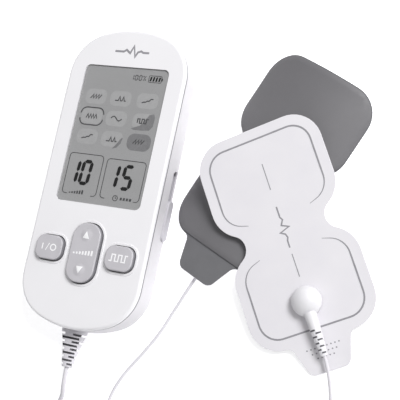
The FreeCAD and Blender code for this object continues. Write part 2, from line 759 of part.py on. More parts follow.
def make_plug():
    seat = S.socket_face_y - 0.2
    tip = 1.0
    pin = cylinder("pin_shank", S.plug_radius, S.plug_length - tip,
                   (S.plug_x, seat + S.plug_length - tip, S.plug_z), TOWARDS_LOWER_END)
    nose = doc.addObject("Part::Cone", "pin_nose")
    bind(nose, "Radius1", S.plug_radius / 2)
    bind(nose, "Radius2", S.plug_radius)
    bind(nose, "Height", tip)
    nose.Placement = Placement(Vector(), TOWARDS_LOWER_END)
    place(nose, (S.plug_x, seat + S.plug_length, S.plug_z))
    node(fuse("plug_pin", [pin, nose]), "plug_pin")
    body = new_body("plug_boot")
    wide = rounded_rectangle(S.plug_x, S.plug_z, S.boot_width, S.boot_height, S.boot_corner)
    narrow = rounded_rectangle(S.plug_x, S.plug_z, S.boot_end_width, S.boot_end_width, S.boot_end_width / 2 - 0.3)
    add_pad(body, "boot_collar", wide, -seat, -S.boot_shoulder_y, "XZ_Plane")
    first = outline_sketch(body, "boot_wide", wide, -S.boot_shoulder_y, "XZ_Plane")
    last = outline_sketch(body, "boot_narrow", narrow, -S.boot_end_y, "XZ_Plane")
    taper = body.newObject("PartDesign::AdditiveLoft", "boot_taper")
    taper.Profile = first
    taper.Sections = [last]
    taper.Ruled = True
    node(body, "plug_boot")


# ---------------------------------------------------------------- cords
def cord_route(name):
    """Points of each stretch of cord that lies uncoiled, in millimetres."""
    plug_x, plug_z = S.plug_x.value, S.plug_z.value
    boot = S.boot_end_y.value
    floor = S.branch_diameter.value / 2 + 0.05
    deck = S.trunk_diameter.value / 2 + 0.05
    routes = {
        "trunk_lead": [
            (plug_x, boot, plug_z), (plug_x, boot - 6.5, plug_z), (-4.2, -97.5, 2.4), (-11.5, -105.0, deck),
            (-19.5, -110.5, deck), (-22.0, -118.5, deck), (-22.0, -126.0, deck)],
        "trunk_tail": [
            (-6.0, -142.0, 3.0), (3.0, -142.0, 2.9), (12.0, -140.5, 1.3), (22.0, -137.5, deck),
            (30.5, -136.0, 1.6), (37.0, -136.0, 1.6)],
        "branch_a_lead": [
            (49.0, -137.4, 1.6), (56.0, -137.4, 1.6), (66.5, -136.6, floor), (76.5, -131.5, floor),
            (84.0, -125.6, floor), (92.0, -123.8, floor)],
        "branch_a_tail": [
            (102.8, -113.0, 2.15), (103.4, -104.5, 1.3), (106.5, -95.0, floor), (111.0, -86.0, floor),
            (113.6, -77.0, floor)] + snap_end(pad_a_place()),
        "branch_b_lead": [
            (49.0, -134.6, 1.6), (55.0, -134.6, 1.6), (61.5, -130.0, floor), (62.5, -121.5, floor),
            (56.5, -116.3, floor), (48.0, -116.2, floor), (38.5, -118.8, floor), (28.0, -119.6, floor)],
        "branch_b_tail": [
            (18.4, -110.0, 2.15), (17.4, -101.5, 1.2), (18.0, -92.0, floor), (22.3, -81.3, floor),
            (28.8, -71.0, floor), (34.4, -60.5, floor), (38.8, -49.5, floor)] + snap_end(pad_b_place()),
    }
    return [Vector(*point) for point in routes[name]]


def snap_end(where):
    """The last points of a branch, straight into the snap connector's strain relief."""
    height = S.snap_lead_height.value
    end = where.multVec(Vector(0, -S.snap_boot_end.value, height))
    ahead = where.multVec(Vector(0, -S.snap_boot_end.value - 5.0, height))
    return [(ahead.x, ahead.y, ahead.z), (end.x, end.y, end.z)]


def rounded_path(points):
    """Straight runs joined by tangent arcs as large as the runs allow."""
    edges = []
    radii = []
    start = points[0]
    for before, here, after in zip(points, points[1:], points[2:]):
        incoming, outgoing = here - before, after - here
        share = 0.45 * min(incoming.Length, outgoing.Length)
        turn = incoming.getAngle(outgoing)
        radii.append(share / math.tan(turn / 2))
        incoming.normalize()
        outgoing.normalize()
        enter = here - incoming * share
        leave = here + outgoing * share
        bisector = outgoing - incoming
        bisector.normalize()
        centre = here + bisector * (radii[-1] / math.cos(turn / 2))
        middle = centre - bisector * radii[-1]
        edges.append(Part.LineSegment(start, enter).toShape())
        edges.append(Part.Arc(enter, middle, leave).toShape())
        start = leave
    edges.append(Part.LineSegment(start, points[-1]).toShape())
    return Part.Wire(edges), radii


def make_cord(label, diameter):
    points = cord_route(label)
    path, radii = rounded_path(points)
    radius = diameter.value / 2
    section = Part.Wire(Part.makeCircle(radius, points[0], points[1] - points[0]))
    sweep = Part.BRepOffsetAPI.MakePipeShell(path)
    sweep.add(section)
    sweep.build()
    sweep.makeSolid()
    made = doc.addObject("Part::Feature", label)
    made.Shape = sweep.shape()
    expected = math.pi * radius ** 2 * path.Length
    print("%s: length %.1f, volume %.4f of section x length, bend radii %s" % (
        label, path.Length, made.Shape.Volume / expected, " ".join("%.1f" % value for value in radii)))
    node(made, label)


def make_coil(label, radius, width, diameter, x, y):
    """The outer form of a two-layer coil of cord and its tie."""
    tie = 0.35
    height = 2 * (diameter + tie)
    at = (as_dim(x), as_dim(y), as_dim(0.02))
    ring = cylinder(label + "_outer", radius + width / 2, height, at)
    hole = cylinder(label + "_hole", radius - width / 2, height + 2, (at[0], at[1], as_dim(-1)))
    node(cut(label, ring, [hole]), label)


def make_coils():
    make_coil("trunk_coil", S.trunk_coil_radius, S.trunk_coil_width, S.trunk_diameter, -6.0, -126.0)
    make_coil("branch_a_coil", S.coil_a_radius, S.branch_coil_width, S.branch_diameter, 92.0, -113.0)
    make_coil("branch_b_coil", S.coil_b_radius, S.branch_coil_width, S.branch_diameter, 28.0, -110.0)


def make_splitter():
    """Moulded junction: one cord in on the left, two out on the right."""
    bends = rounded_rectangle(43.0, -136.0, S.splitter_length, S.splitter_width, as_dim(2.2))
    body = plate("y_splitter", bends, as_dim(0.05), S.splitter_height)
    round_edges(body, "y_splitter_edge", as_dim(0.9), S.splitter_height)
    node(body, "y_splitter")


# ---------------------------------------------------------------- pads
def pad_a_place():
    """Gel side down: the tab's end rests on the table and the far lobe rises over the other pad."""
    slope = math.radians(S.pad_a_slope.value)
    reach = S.lobe_length.value - S.stud_to_waist.value + S.tab_length.value
    thickness = (S.backing_thickness + S.film_thickness).value
    height = reach * math.sin(slope) + thickness * math.cos(slope) + 0.05
    turn = Rotation(Vector(0, 0, 1), S.pad_a_turn.value).multiply(Rotation(Vector(1, 0, 0), S.pad_a_slope.value))
    return Placement(Vector(S.pad_a_x.value, S.pad_a_y.value, height), turn)


def pad_b_place():
    """Gel side up: the snap connector is underneath and the long edges rest on the table."""
    turn = Rotation(Vector(0, 0, 1), S.pad_b_turn.value).multiply(Rotation(Vector(0, 1, 0), 180))
    return Placement(Vector(S.pad_b_x.value, S.pad_b_y.value, S.pad_b_height.value), turn)


def pad_outline(half_width, inset, with_tab):
    """Two square lobes with round corners, a notched waist and a grip tab; the stud is the origin."""
    top = S.stud_to_waist + S.lobe_length - inset
    low = S.stud_to_waist - S.lobe_length + inset
    side = half_width - inset
    corner = S.lobe_corner - inset
    inner = S.waist_corner - inset
    notch = S.waist_radius + inset
    notch_x = S.waist_half + S.waist_radius
    inner_x = side - inner
    across = notch_x - inner_x
    rise = root((inner + notch) * (inner + notch) - across * across)
    right = [Bend(side - corner, low + corner, corner),
             Bend(inner_x, S.stud_to_waist - rise, inner, slides=True),
             Bend(notch_x, S.stud_to_waist, notch, hollow=True),
             Bend(inner_x, S.stud_to_waist + rise, inner, slides=True),
             Bend(side - corner, top - corner, corner)]
    if with_tab:
        end = S.stud_to_waist - S.lobe_length - S.tab_length + inset
        root_r = S.tab_root_radius
        right = [Bend(S.tab_end_half - S.tab_corner, end + S.tab_corner, S.tab_corner - inset / 2),
                 Bend(S.tab_root_half + root_r, low - root_r, root_r, hollow=True)] + right
    left = [Bend(-bend.x, bend.y, bend.radius, bend.side < 0, bend.slides) for bend in reversed(right)]
    return right + left


def curled(name, blank, inner_depth, outer_depth):
    """Keep of a blank only the layer between two depths below the curled backing."""
    length = 2 * (S.stud_to_waist + S.lobe_length)
    lay_down = Rotation(Vector(1, 0, 0), -90)
    at = (as_dim(0), -length / 2, S.curl_radius)
    outer = cylinder(name + "_outer", S.curl_radius + outer_depth, length, at, lay_down)
    inner = cylinder(name + "_inner", S.curl_radius + inner_depth, length, at, lay_down)
    layer = cut(name + "_shell", outer, [inner])
    return common(name + "_layer", blank, layer)


def make_pad(letter, where, curl):
    """Backing, carbon film and gel, from the connector's side down, and the riveted stud."""
    half = S.pad_width / 2
    if curl:
        angle = half.value / S.curl_radius.value
        half = half * (math.sin(angle) / angle)
    film_top = S.backing_thickness
    gel_top = film_top + S.film_thickness
    gel_low = gel_top + S.gel_thickness
    layers = (("backing", as_dim(0), film_top, as_dim(0), True),
              ("film", film_top, gel_top, S.film_inset, True),
              ("gel", gel_top, gel_low, S.gel_inset, False))
    headroom = as_dim(8.0) if curl else as_dim(0)
    for layer, upper, lower, inset, with_tab in layers:
        label = "pad_%s_%s" % (letter, layer)
        outline = pad_outline(half, inset, with_tab)
        solid = plate(label + "_blank", outline, -lower, headroom - upper)
        if curl:
            solid = curled(label, solid, upper, lower)
        if layer == "gel":
            hole = cylinder(label + "_dimple", as_dim(3.3), as_dim(0.3), (as_dim(0), as_dim(0), -upper - 0.25))
        else:
            hole = cylinder(label + "_hole", as_dim(1.25), as_dim(3), (as_dim(0), as_dim(0), as_dim(-2)))
        finished = cut(label, solid, [hole])
        finished.Placement = where
        node(finished, label)
    make_stud(letter, where, gel_top)


def make_stud(letter, where, film_depth):
    label = "pad_%s_stud" % letter
    zero = as_dim(0)
    flange_low, flange_top_n = 0.13, 0.38
    pieces = [
        cylinder(label + "_flange", as_dim(3.8), as_dim(flange_top_n - flange_low), (zero, zero, as_dim(flange_low))),
        cylinder(label + "_post", S.stud_radius, as_dim(2.4), (zero, zero, as_dim(flange_top_n - 0.05))),
        cylinder(label + "_shank", as_dim(1.2), film_depth + 0.3, (zero, zero, -film_depth - 0.1)),
        cylinder(label + "_eyelet", as_dim(3.2), as_dim(0.2), (zero, zero, -film_depth - 0.2)),
    ]
    stud = fuse(label, pieces)
    stud.Placement = where
    node(stud, label)


def make_snap(letter, where):
    """Snap connector: a moulded dome with neck and strain relief, and the metal ring inside."""
    zero = as_dim(0)
    label = "snap_housing_%s" % letter
    drum = cylinder(label + "_drum", S.snap_radius, S.snap_height - S.snap_rise, (zero, zero, S.snap_rise))
    crown = doc.addObject("Part::Sphere", label + "_crown")
    bind(crown, "Radius", S.snap_dome_radius)
    place(crown, (zero, zero, S.snap_height - S.snap_dome_radius))
    dome = common(label + "_dome", drum, crown)
    height = S.snap_lead_height
    neck = cylinder(label + "_neck", S.neck_radius, S.neck_end - 4, (zero, as_dim(-4), height), TOWARDS_LOWER_END)
    boot = doc.addObject("Part::Cone", label + "_boot")
    bind(boot, "Radius1", S.neck_radius)
    bind(boot, "Radius2", S.snap_boot_tip)
    bind(boot, "Height", S.snap_boot_end - S.neck_end)
    boot.Placement = Placement(Vector(), TOWARDS_LOWER_END)
    place(boot, (zero, -S.neck_end, height))
    solid = fuse(label + "_solid", [dome, neck, boot])
    ring_radius = 3.6
    pocket = cylinder(label + "_pocket", as_dim(ring_radius + 0.03), S.snap_rise + 2.3, (zero, zero, as_dim(0.3)))
    housing = cut(label, solid, [pocket])
    housing.Placement = where
    node(housing, label)
    ring_label = "snap_ring_%s" % letter
    ring_low = S.snap_rise + 0.05
    ring_disc = cylinder(ring_label + "_disc", as_dim(ring_radius), as_dim(2.35), (zero, zero, ring_low))
    bore = cylinder(ring_label + "_bore", S.stud_radius + S.stud_clearance, as_dim(4), (zero, zero, zero))
    ring = cut(ring_label, ring_disc, [bore])
    ring.Placement = where
    node(ring, ring_label)


# ---------------------------------------------------------------- build, check and write
def build():
    make_rear_shell()
    make_seam_trim()
    make_front_shell()
    make_case_screws()
    make_display()
    make_side_key("power_key", -S.key_x)
    make_side_key("mode_key", S.key_x)
    make_rocker()
    make_key_mat()
    make_circuit_board()
    make_components()
    make_charging_socket()
    make_shutter()
    make_lead_socket()
    make_plug()
    make_cord("trunk_lead", S.trunk_diameter)
    make_cord("trunk_tail", S.trunk_diameter)
    for letter, where, curl in (("a", pad_a_place(), False), ("b", pad_b_place(), True)):
        make_cord("branch_%s_lead" % letter, S.branch_diameter)
        make_cord("branch_%s_tail" % letter, S.branch_diameter)
        make_pad(letter, where, curl)
        make_snap(letter, where)
    make_coils()
    make_splitter()
    doc.recompute()


def check():
    """Stop before writing anything if a feature failed or a sub-part isn't a sound solid."""
    faults = [item.Name for item in doc.Objects if {"Invalid", "Error"} & set(item.State)]
    for label, item in nodes.items():
        shape = item.Shape
        if shape.isNull() or not shape.isValid() or not shape.Solids:
            faults.append(label)
        elif shape.Volume <= 0:
            faults.append(label + " (inside out)")
    if faults:
        raise RuntimeError("failed: " + ", ".join(faults))


def write():
    os.makedirs("parts", exist_ok=True)
    for label, item in sorted(nodes.items()):
        item.Shape.exportStep("parts/%s.step" % label)
        limits = item.Shape.BoundBox
        print("%-20s solids %d volume %9.2f  x %.2f..%.2f y %.2f..%.2f z %.2f..%.2f" % (
            label, len(item.Shape.Solids), item.Shape.Volume,
            limits.XMin, limits.XMax, limits.YMin, limits.YMax, limits.ZMin, limits.ZMax))


build()
check()
write()
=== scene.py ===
import json
import math

import bmesh
import bpy
from mathutils import Matrix, Vector, geometry, noise


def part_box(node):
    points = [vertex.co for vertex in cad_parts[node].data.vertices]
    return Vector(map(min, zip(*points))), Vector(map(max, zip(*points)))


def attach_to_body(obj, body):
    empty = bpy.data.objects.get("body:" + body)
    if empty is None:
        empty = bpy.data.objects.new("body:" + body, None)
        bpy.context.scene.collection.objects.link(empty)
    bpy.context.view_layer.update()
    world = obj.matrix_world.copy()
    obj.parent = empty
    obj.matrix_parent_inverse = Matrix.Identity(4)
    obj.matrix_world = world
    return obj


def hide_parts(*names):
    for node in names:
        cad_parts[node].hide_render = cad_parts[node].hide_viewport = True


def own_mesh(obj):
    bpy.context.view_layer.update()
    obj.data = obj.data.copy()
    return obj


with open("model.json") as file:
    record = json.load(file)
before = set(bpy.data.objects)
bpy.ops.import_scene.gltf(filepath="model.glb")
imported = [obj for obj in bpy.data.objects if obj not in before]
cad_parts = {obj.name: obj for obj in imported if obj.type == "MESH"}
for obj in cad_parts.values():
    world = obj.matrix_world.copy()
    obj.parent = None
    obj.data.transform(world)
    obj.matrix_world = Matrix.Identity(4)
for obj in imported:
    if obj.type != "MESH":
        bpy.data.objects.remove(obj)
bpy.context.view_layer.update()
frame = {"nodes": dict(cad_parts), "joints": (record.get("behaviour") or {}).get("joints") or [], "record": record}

# A nerve stimulator with its lead set and two gel pads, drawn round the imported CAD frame.
# Objects are in metres.

MM = 0.001
TAU = 2 * math.pi
FACE = 18.0                            # height of the case's flat face
BOOT_X, BOOT_Z = -3.2, 6.6             # middle of the plug's strain relief
NECK_Z = 2.9                           # a snap connector's strain relief, above the pad's face
COIL = {"trunk": (-6, -126), "branch_a": (92, -113), "branch_b": (28, -110)}

# A pad, measured from its stud along the middle.
PAD_HALF, WAIST, LOBE = 27.0, 29.25, 45.0          # half width, stud to waist, waist to far end
END_CORNER, WAIST_CORNER = 12.6, 13.0              # radii at a lobe's end and beside the waist
NOTCH, NOTCH_X = 6.0, 23.6                         # radius and centre of the waist's notch
CURL = 58.0                                        # radius that the lower pad is curled to
LAYERS = {"backing": (0.0, 0.45), "film": (0.45, 0.8), "gel": (0.8, 1.6)}   # depths below the face


# -------- camera
def make_camera():
    """A long lens from the lower right, above the table. Its place is in metres."""
    data = bpy.data.cameras.new("camera")
    data.lens = 90
    data.sensor_width = 36
    data.clip_start, data.clip_end = 0.01, 10
    camera = bpy.data.objects.new("camera", data)
    bpy.context.scene.collection.objects.link(camera)
    right = Vector((0.9032, 0.2031, -0.3780))
    up = Vector((-0.1241, 0.9669, 0.2229))
    back = Vector((0.4108, -0.1544, 0.8986))
    place = Matrix((right, up, back)).transposed().to_4x4()
    place.translation = (0.2169, -0.0683, 0.3885)
    camera.matrix_world = place
    bpy.context.scene.camera = camera


# -------- meshes
def add_mesh(name, points, faces, material, sharp=35.0):
    """A smooth-shaded mesh whose edges stay sharp above an angle."""
    mesh = bpy.data.meshes.new(name)
    mesh.from_pydata([tuple(p) for p in points], [], faces)
    shell = bmesh.new()
    shell.from_mesh(mesh)
    bmesh.ops.remove_doubles(shell, verts=shell.verts, dist=1e-8)
    bmesh.ops.recalc_face_normals(shell, faces=shell.faces)
    shell.to_mesh(mesh)
    shell.free()
    return add_object(name, mesh, material, sharp)


def add_object(name, mesh, material, sharp=35.0):
    mesh.polygons.foreach_set("use_smooth", [True] * len(mesh.polygons))
    mesh.set_sharp_from_angle(angle=math.radians(sharp))
    mesh.materials.clear()
    mesh.materials.append(material)
    made = bpy.data.objects.new(name, mesh)
    bpy.context.scene.collection.objects.link(made)
    return made


def attach(piece, body, slot, *nodes):
    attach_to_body(piece, body)
    if nodes:
        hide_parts(*nodes)
    return piece


def loft(rings, capped=True):
    """Points and faces of a skin over closed rings with equal counts."""
    count = len(rings[0])
    points = [p for ring in rings for p in ring]
    faces = []
    for r in range(len(rings) - 1):
        here, there = r * count, (r + 1) * count
        for i in range(count):
            j = (i + 1) % count
            faces.append((here + i, here + j, there + j, there + i))
    if capped:
        faces.append(tuple(range(count))[::-1])
        faces.append(tuple((len(rings) - 1) * count + i for i in range(count)))
    return points, faces


def circle(x, y, radius, count):
    return [(x + radius * math.cos(TAU * i / count), y + radius * math.sin(TAU * i / count))
            for i in range(count)]


def rounded_rectangle(x, y, width, height, corner, steps=6):
    path = []
    for quarter, (sx, sy) in enumerate(((1, 1), (-1, 1), (-1, -1), (1, -1))):
        cx, cy = x + sx * (width / 2 - corner), y + sy * (height / 2 - corner)
        for i in range(steps + 1):
            angle = (quarter + i / steps) * math.pi / 2
            path.append((cx + corner * math.cos(angle), cy + corner * math.sin(angle)))
    return path


def box_points(low, high):
    return [Vector((x, y, z)) for z in (low[2], high[2]) for x, y in
            ((low[0], low[1]), (high[0], low[1]), (high[0], high[1]), (low[0], high[1]))]


BOX_FACES = [(0, 3, 2, 1), (4, 5, 6, 7), (0, 1, 5, 4), (1, 2, 6, 5), (2, 3, 7, 6), (3, 0, 4, 7)]


def apply_boolean(target, tool, operation):
    """Combine two meshes for good and drop the tool."""
    step = target.modifiers.new("combine", "BOOLEAN")
    step.operation = operation
    step.solver = "EXACT"
    step.material_mode = "TRANSFER"
    step.object = tool
    graph = bpy.context.evaluated_depsgraph_get()
    mesh = bpy.data.meshes.new_from_object(target.evaluated_get(graph))
    target.modifiers.clear()
    target.data = mesh
    bpy.data.objects.remove(tool)


class Print:
    """Flat printed shapes, a hair thick, gathered into one closed-surfaced piece.

    place(x, y, height) gives the point in metres for flat coordinates in millimetres.
    """

    def __init__(self, place, low=0.01, high=0.035):
        self.place, self.low, self.high = place, low, high
        self.points, self.faces = [], []

    def shape(self, outline):
        start, count = len(self.points), len(outline)
        self.points += [self.place(x, y, self.low) for x, y in outline]
        self.points += [self.place(x, y, self.high) for x, y in outline]
        self.faces.append(tuple(start + i for i in reversed(range(count))))
        self.faces.append(tuple(start + count + i for i in range(count)))
        for i in range(count):
            j = (i + 1) % count
            self.faces.append((start + i, start + j, start + count + j, start + count + i))

    def band(self, path, width, closed=False):
        """A line of that width, or of a width for each point, with mitred corners."""
        count = len(path)
        widths = width if isinstance(width, list) else [width] * count
        sides = []
        for i, here in enumerate(path):
            before = path[i - 1] if i or closed else None
            after = path[(i + 1) % count] if i < count - 1 or closed else None
            steps = [(Vector(b) - Vector(a)).normalized()
                     for a, b in ((before, here), (here, after)) if a and b]
            normals = [Vector((-step.y, step.x)) for step in steps]
            aside = sum(normals, Vector((0, 0))).normalized()
            stretch = 1 / max(0.5, aside.dot(normals[0]))
            reach = aside * (widths[i] / 2 * stretch)
            sides.append((Vector(here) - reach, Vector(here) + reach))
        start = len(self.points)
        low, high = self.low, self.high
        for right, left in sides:
            for (x, y), height in ((right, low), (left, low), (left, high), (right, high)):
                self.points.append(self.place(x, y, height))
        for i in range(count if closed else count - 1):
            here, there = start + 4 * i, start + 4 * ((i + 1) % count)
            for k in range(4):
                j = (k + 1) % 4
                self.faces.append((here + k, here + j, there + j, there + k))
        if not closed:
            self.faces.append(tuple(start + k for k in range(4)))
            self.faces.append(tuple(start + 4 * (count - 1) + k for k in reversed(range(4))))

    def disc(self, x, y, radius, count=12):
        self.shape(circle(x, y, radius, count))

    def bar(self, x, y, width, height, lean=0.0):
        """A bar with its middle at x, y, whose top is shifted right by lean and foot left."""
        half, rise = width / 2, height / 2
        self.shape([(x - half - lean, y - rise), (x + half - lean, y - rise),
                    (x + half + lean, y + rise), (x - half + lean, y + rise)])

    def build(self, name, material):
        return add_mesh(name, self.points, self.faces, material, 20)


# -------- materials
def linear(value):
    """A display colour, 0 to 255, as the linear value a shader takes."""
    share = value / 255
    return share / 12.92 if share <= 0.04045 else ((share + 0.055) / 1.055) ** 2.4


def colour(code):
    return tuple(linear(int(code[i:i + 2], 16)) for i in (0, 2, 4)) + (1.0,)


class Finish:
    """A principled surface whose colour, roughness and bump come from nodes in object space."""

    def __init__(self, name, code, roughness, **constants):
        self.material = bpy.data.materials.new(name)
        self.material.use_nodes = True
        self.tree = self.material.node_tree
        self.surface = self.tree.nodes["Principled BSDF"]
        self.base = colour(code)
        self.surface.inputs["Base Color"].default_value = self.base
        self.surface.inputs["Roughness"].default_value = roughness
        for socket, value in constants.items():
            self.surface.inputs[socket.replace("_", " ")].default_value = value
        self.material.diffuse_color = self.base
        self.height = None

    def node(self, kind, **inputs):
        made = self.tree.nodes.new(kind)
        for socket, value in inputs.items():
            made.inputs[socket.replace("_", " ")].default_value = value
        return made

    def link(self, source, target):
        self.tree.links.new(source, target)

    def position(self, stretch=(1, 1, 1)):
        place = self.node("ShaderNodeTexCoord")
        mapping = self.node("ShaderNodeMapping", Scale=stretch)
        self.link(place.outputs["Object"], mapping.inputs["Vector"])
        return mapping.outputs["Vector"]

    def noise(self, size_mm, detail=2.0, stretch=(1, 1, 1)):
        made = self.node("ShaderNodeTexNoise", Scale=1 / (size_mm * MM), Detail=detail)
        self.link(self.position(stretch), made.inputs["Vector"])
        return made.outputs["Fac"]

    def spread(self, source, low, high):
        """A texture's middle range, 0.3 to 0.7, stretched to low and high."""
        made = self.node("ShaderNodeMapRange", From_Min=0.3, From_Max=0.7, To_Min=low, To_Max=high)
        self.link(source, made.inputs["Value"])
        return made.outputs["Result"]

    def blend_to(self, code):
        """A mix towards another colour: its factor input is 0, and the colour it starts from 6."""
        mix = self.node("ShaderNodeMix")
        mix.data_type = "RGBA"
        mix.inputs[7].default_value = colour(code)
        return mix

    def mottle(self, size_mm, code, amount=1.0, detail=3.0, stretch=(1, 1, 1)):
        """Drift of colour from the base towards another colour."""
        mix = self.blend_to(code)
        mix.inputs[6].default_value = self.base
        self.link(self.spread(self.noise(size_mm, detail, stretch), 0.0, amount), mix.inputs[0])
        self.link(mix.outputs[2], self.surface.inputs["Base Color"])
        return self

    def uneven(self, size_mm, low, high, stretch=(1, 1, 1)):
        """Roughness that varies between two values."""
        varied = self.spread(self.noise(size_mm, 4.0, stretch), low, high)
        self.link(varied, self.surface.inputs["Roughness"])
        return self

    def grain(self, size_mm, depth_mm, strength=1.0, stretch=(1, 1, 1), detail=2.0):
        """Fine relief; a second call adds to the first."""
        return self.relief(self.noise(size_mm, detail, stretch), depth_mm, strength)

    def relief(self, source, depth_mm, strength=1.0):
        bump = self.node("ShaderNodeBump", Strength=strength, Distance=depth_mm * MM)
        self.link(source, bump.inputs["Height"])
        if self.height:
            self.link(self.height, bump.inputs["Normal"])
        self.height = bump.outputs["Normal"]
        self.link(self.height, self.surface.inputs["Normal"])
        return self

    def painted_side_shade(self, code):
        """Painted shade: another colour where the surface turns away from straight up, darkening steep sides as
        shade would.
        """
        facing = self.node("ShaderNodeNewGeometry")
        split = self.node("ShaderNodeSeparateXYZ")
        self.link(facing.outputs["Normal"], split.inputs["Vector"])
        turn = self.node("ShaderNodeMapRange", From_Min=0.25, From_Max=0.8, To_Min=1.0, To_Max=0.0)
        self.link(split.outputs["Z"], turn.inputs["Value"])
        mix = self.blend_to(code)
        self.link(turn.outputs["Result"], mix.inputs[0])
        self.link(self.surface.inputs["Base Color"].links[0].from_socket, mix.inputs[6])
        self.link(mix.outputs[2], self.surface.inputs["Base Color"])
        return self

    def weave(self, pitch_mm, depth_mm, strength=1.0):
        """Two crossed sets of threads."""
        for turn in (0.0, math.pi / 2):
            place = self.node("ShaderNodeTexCoord")
            mapping = self.node("ShaderNodeMapping", Rotation=(0, 0, turn))
            wave = self.node("ShaderNodeTexWave", Scale=TAU / (pitch_mm * MM) / 20, Distortion=0.4,
                             Detail=1.0)
            self.link(place.outputs["Object"], mapping.inputs["Vector"])
            self.link(mapping.outputs["Vector"], wave.inputs["Vector"])
            self.relief(wave.outputs["Fac"], depth_mm, strength)
        return self


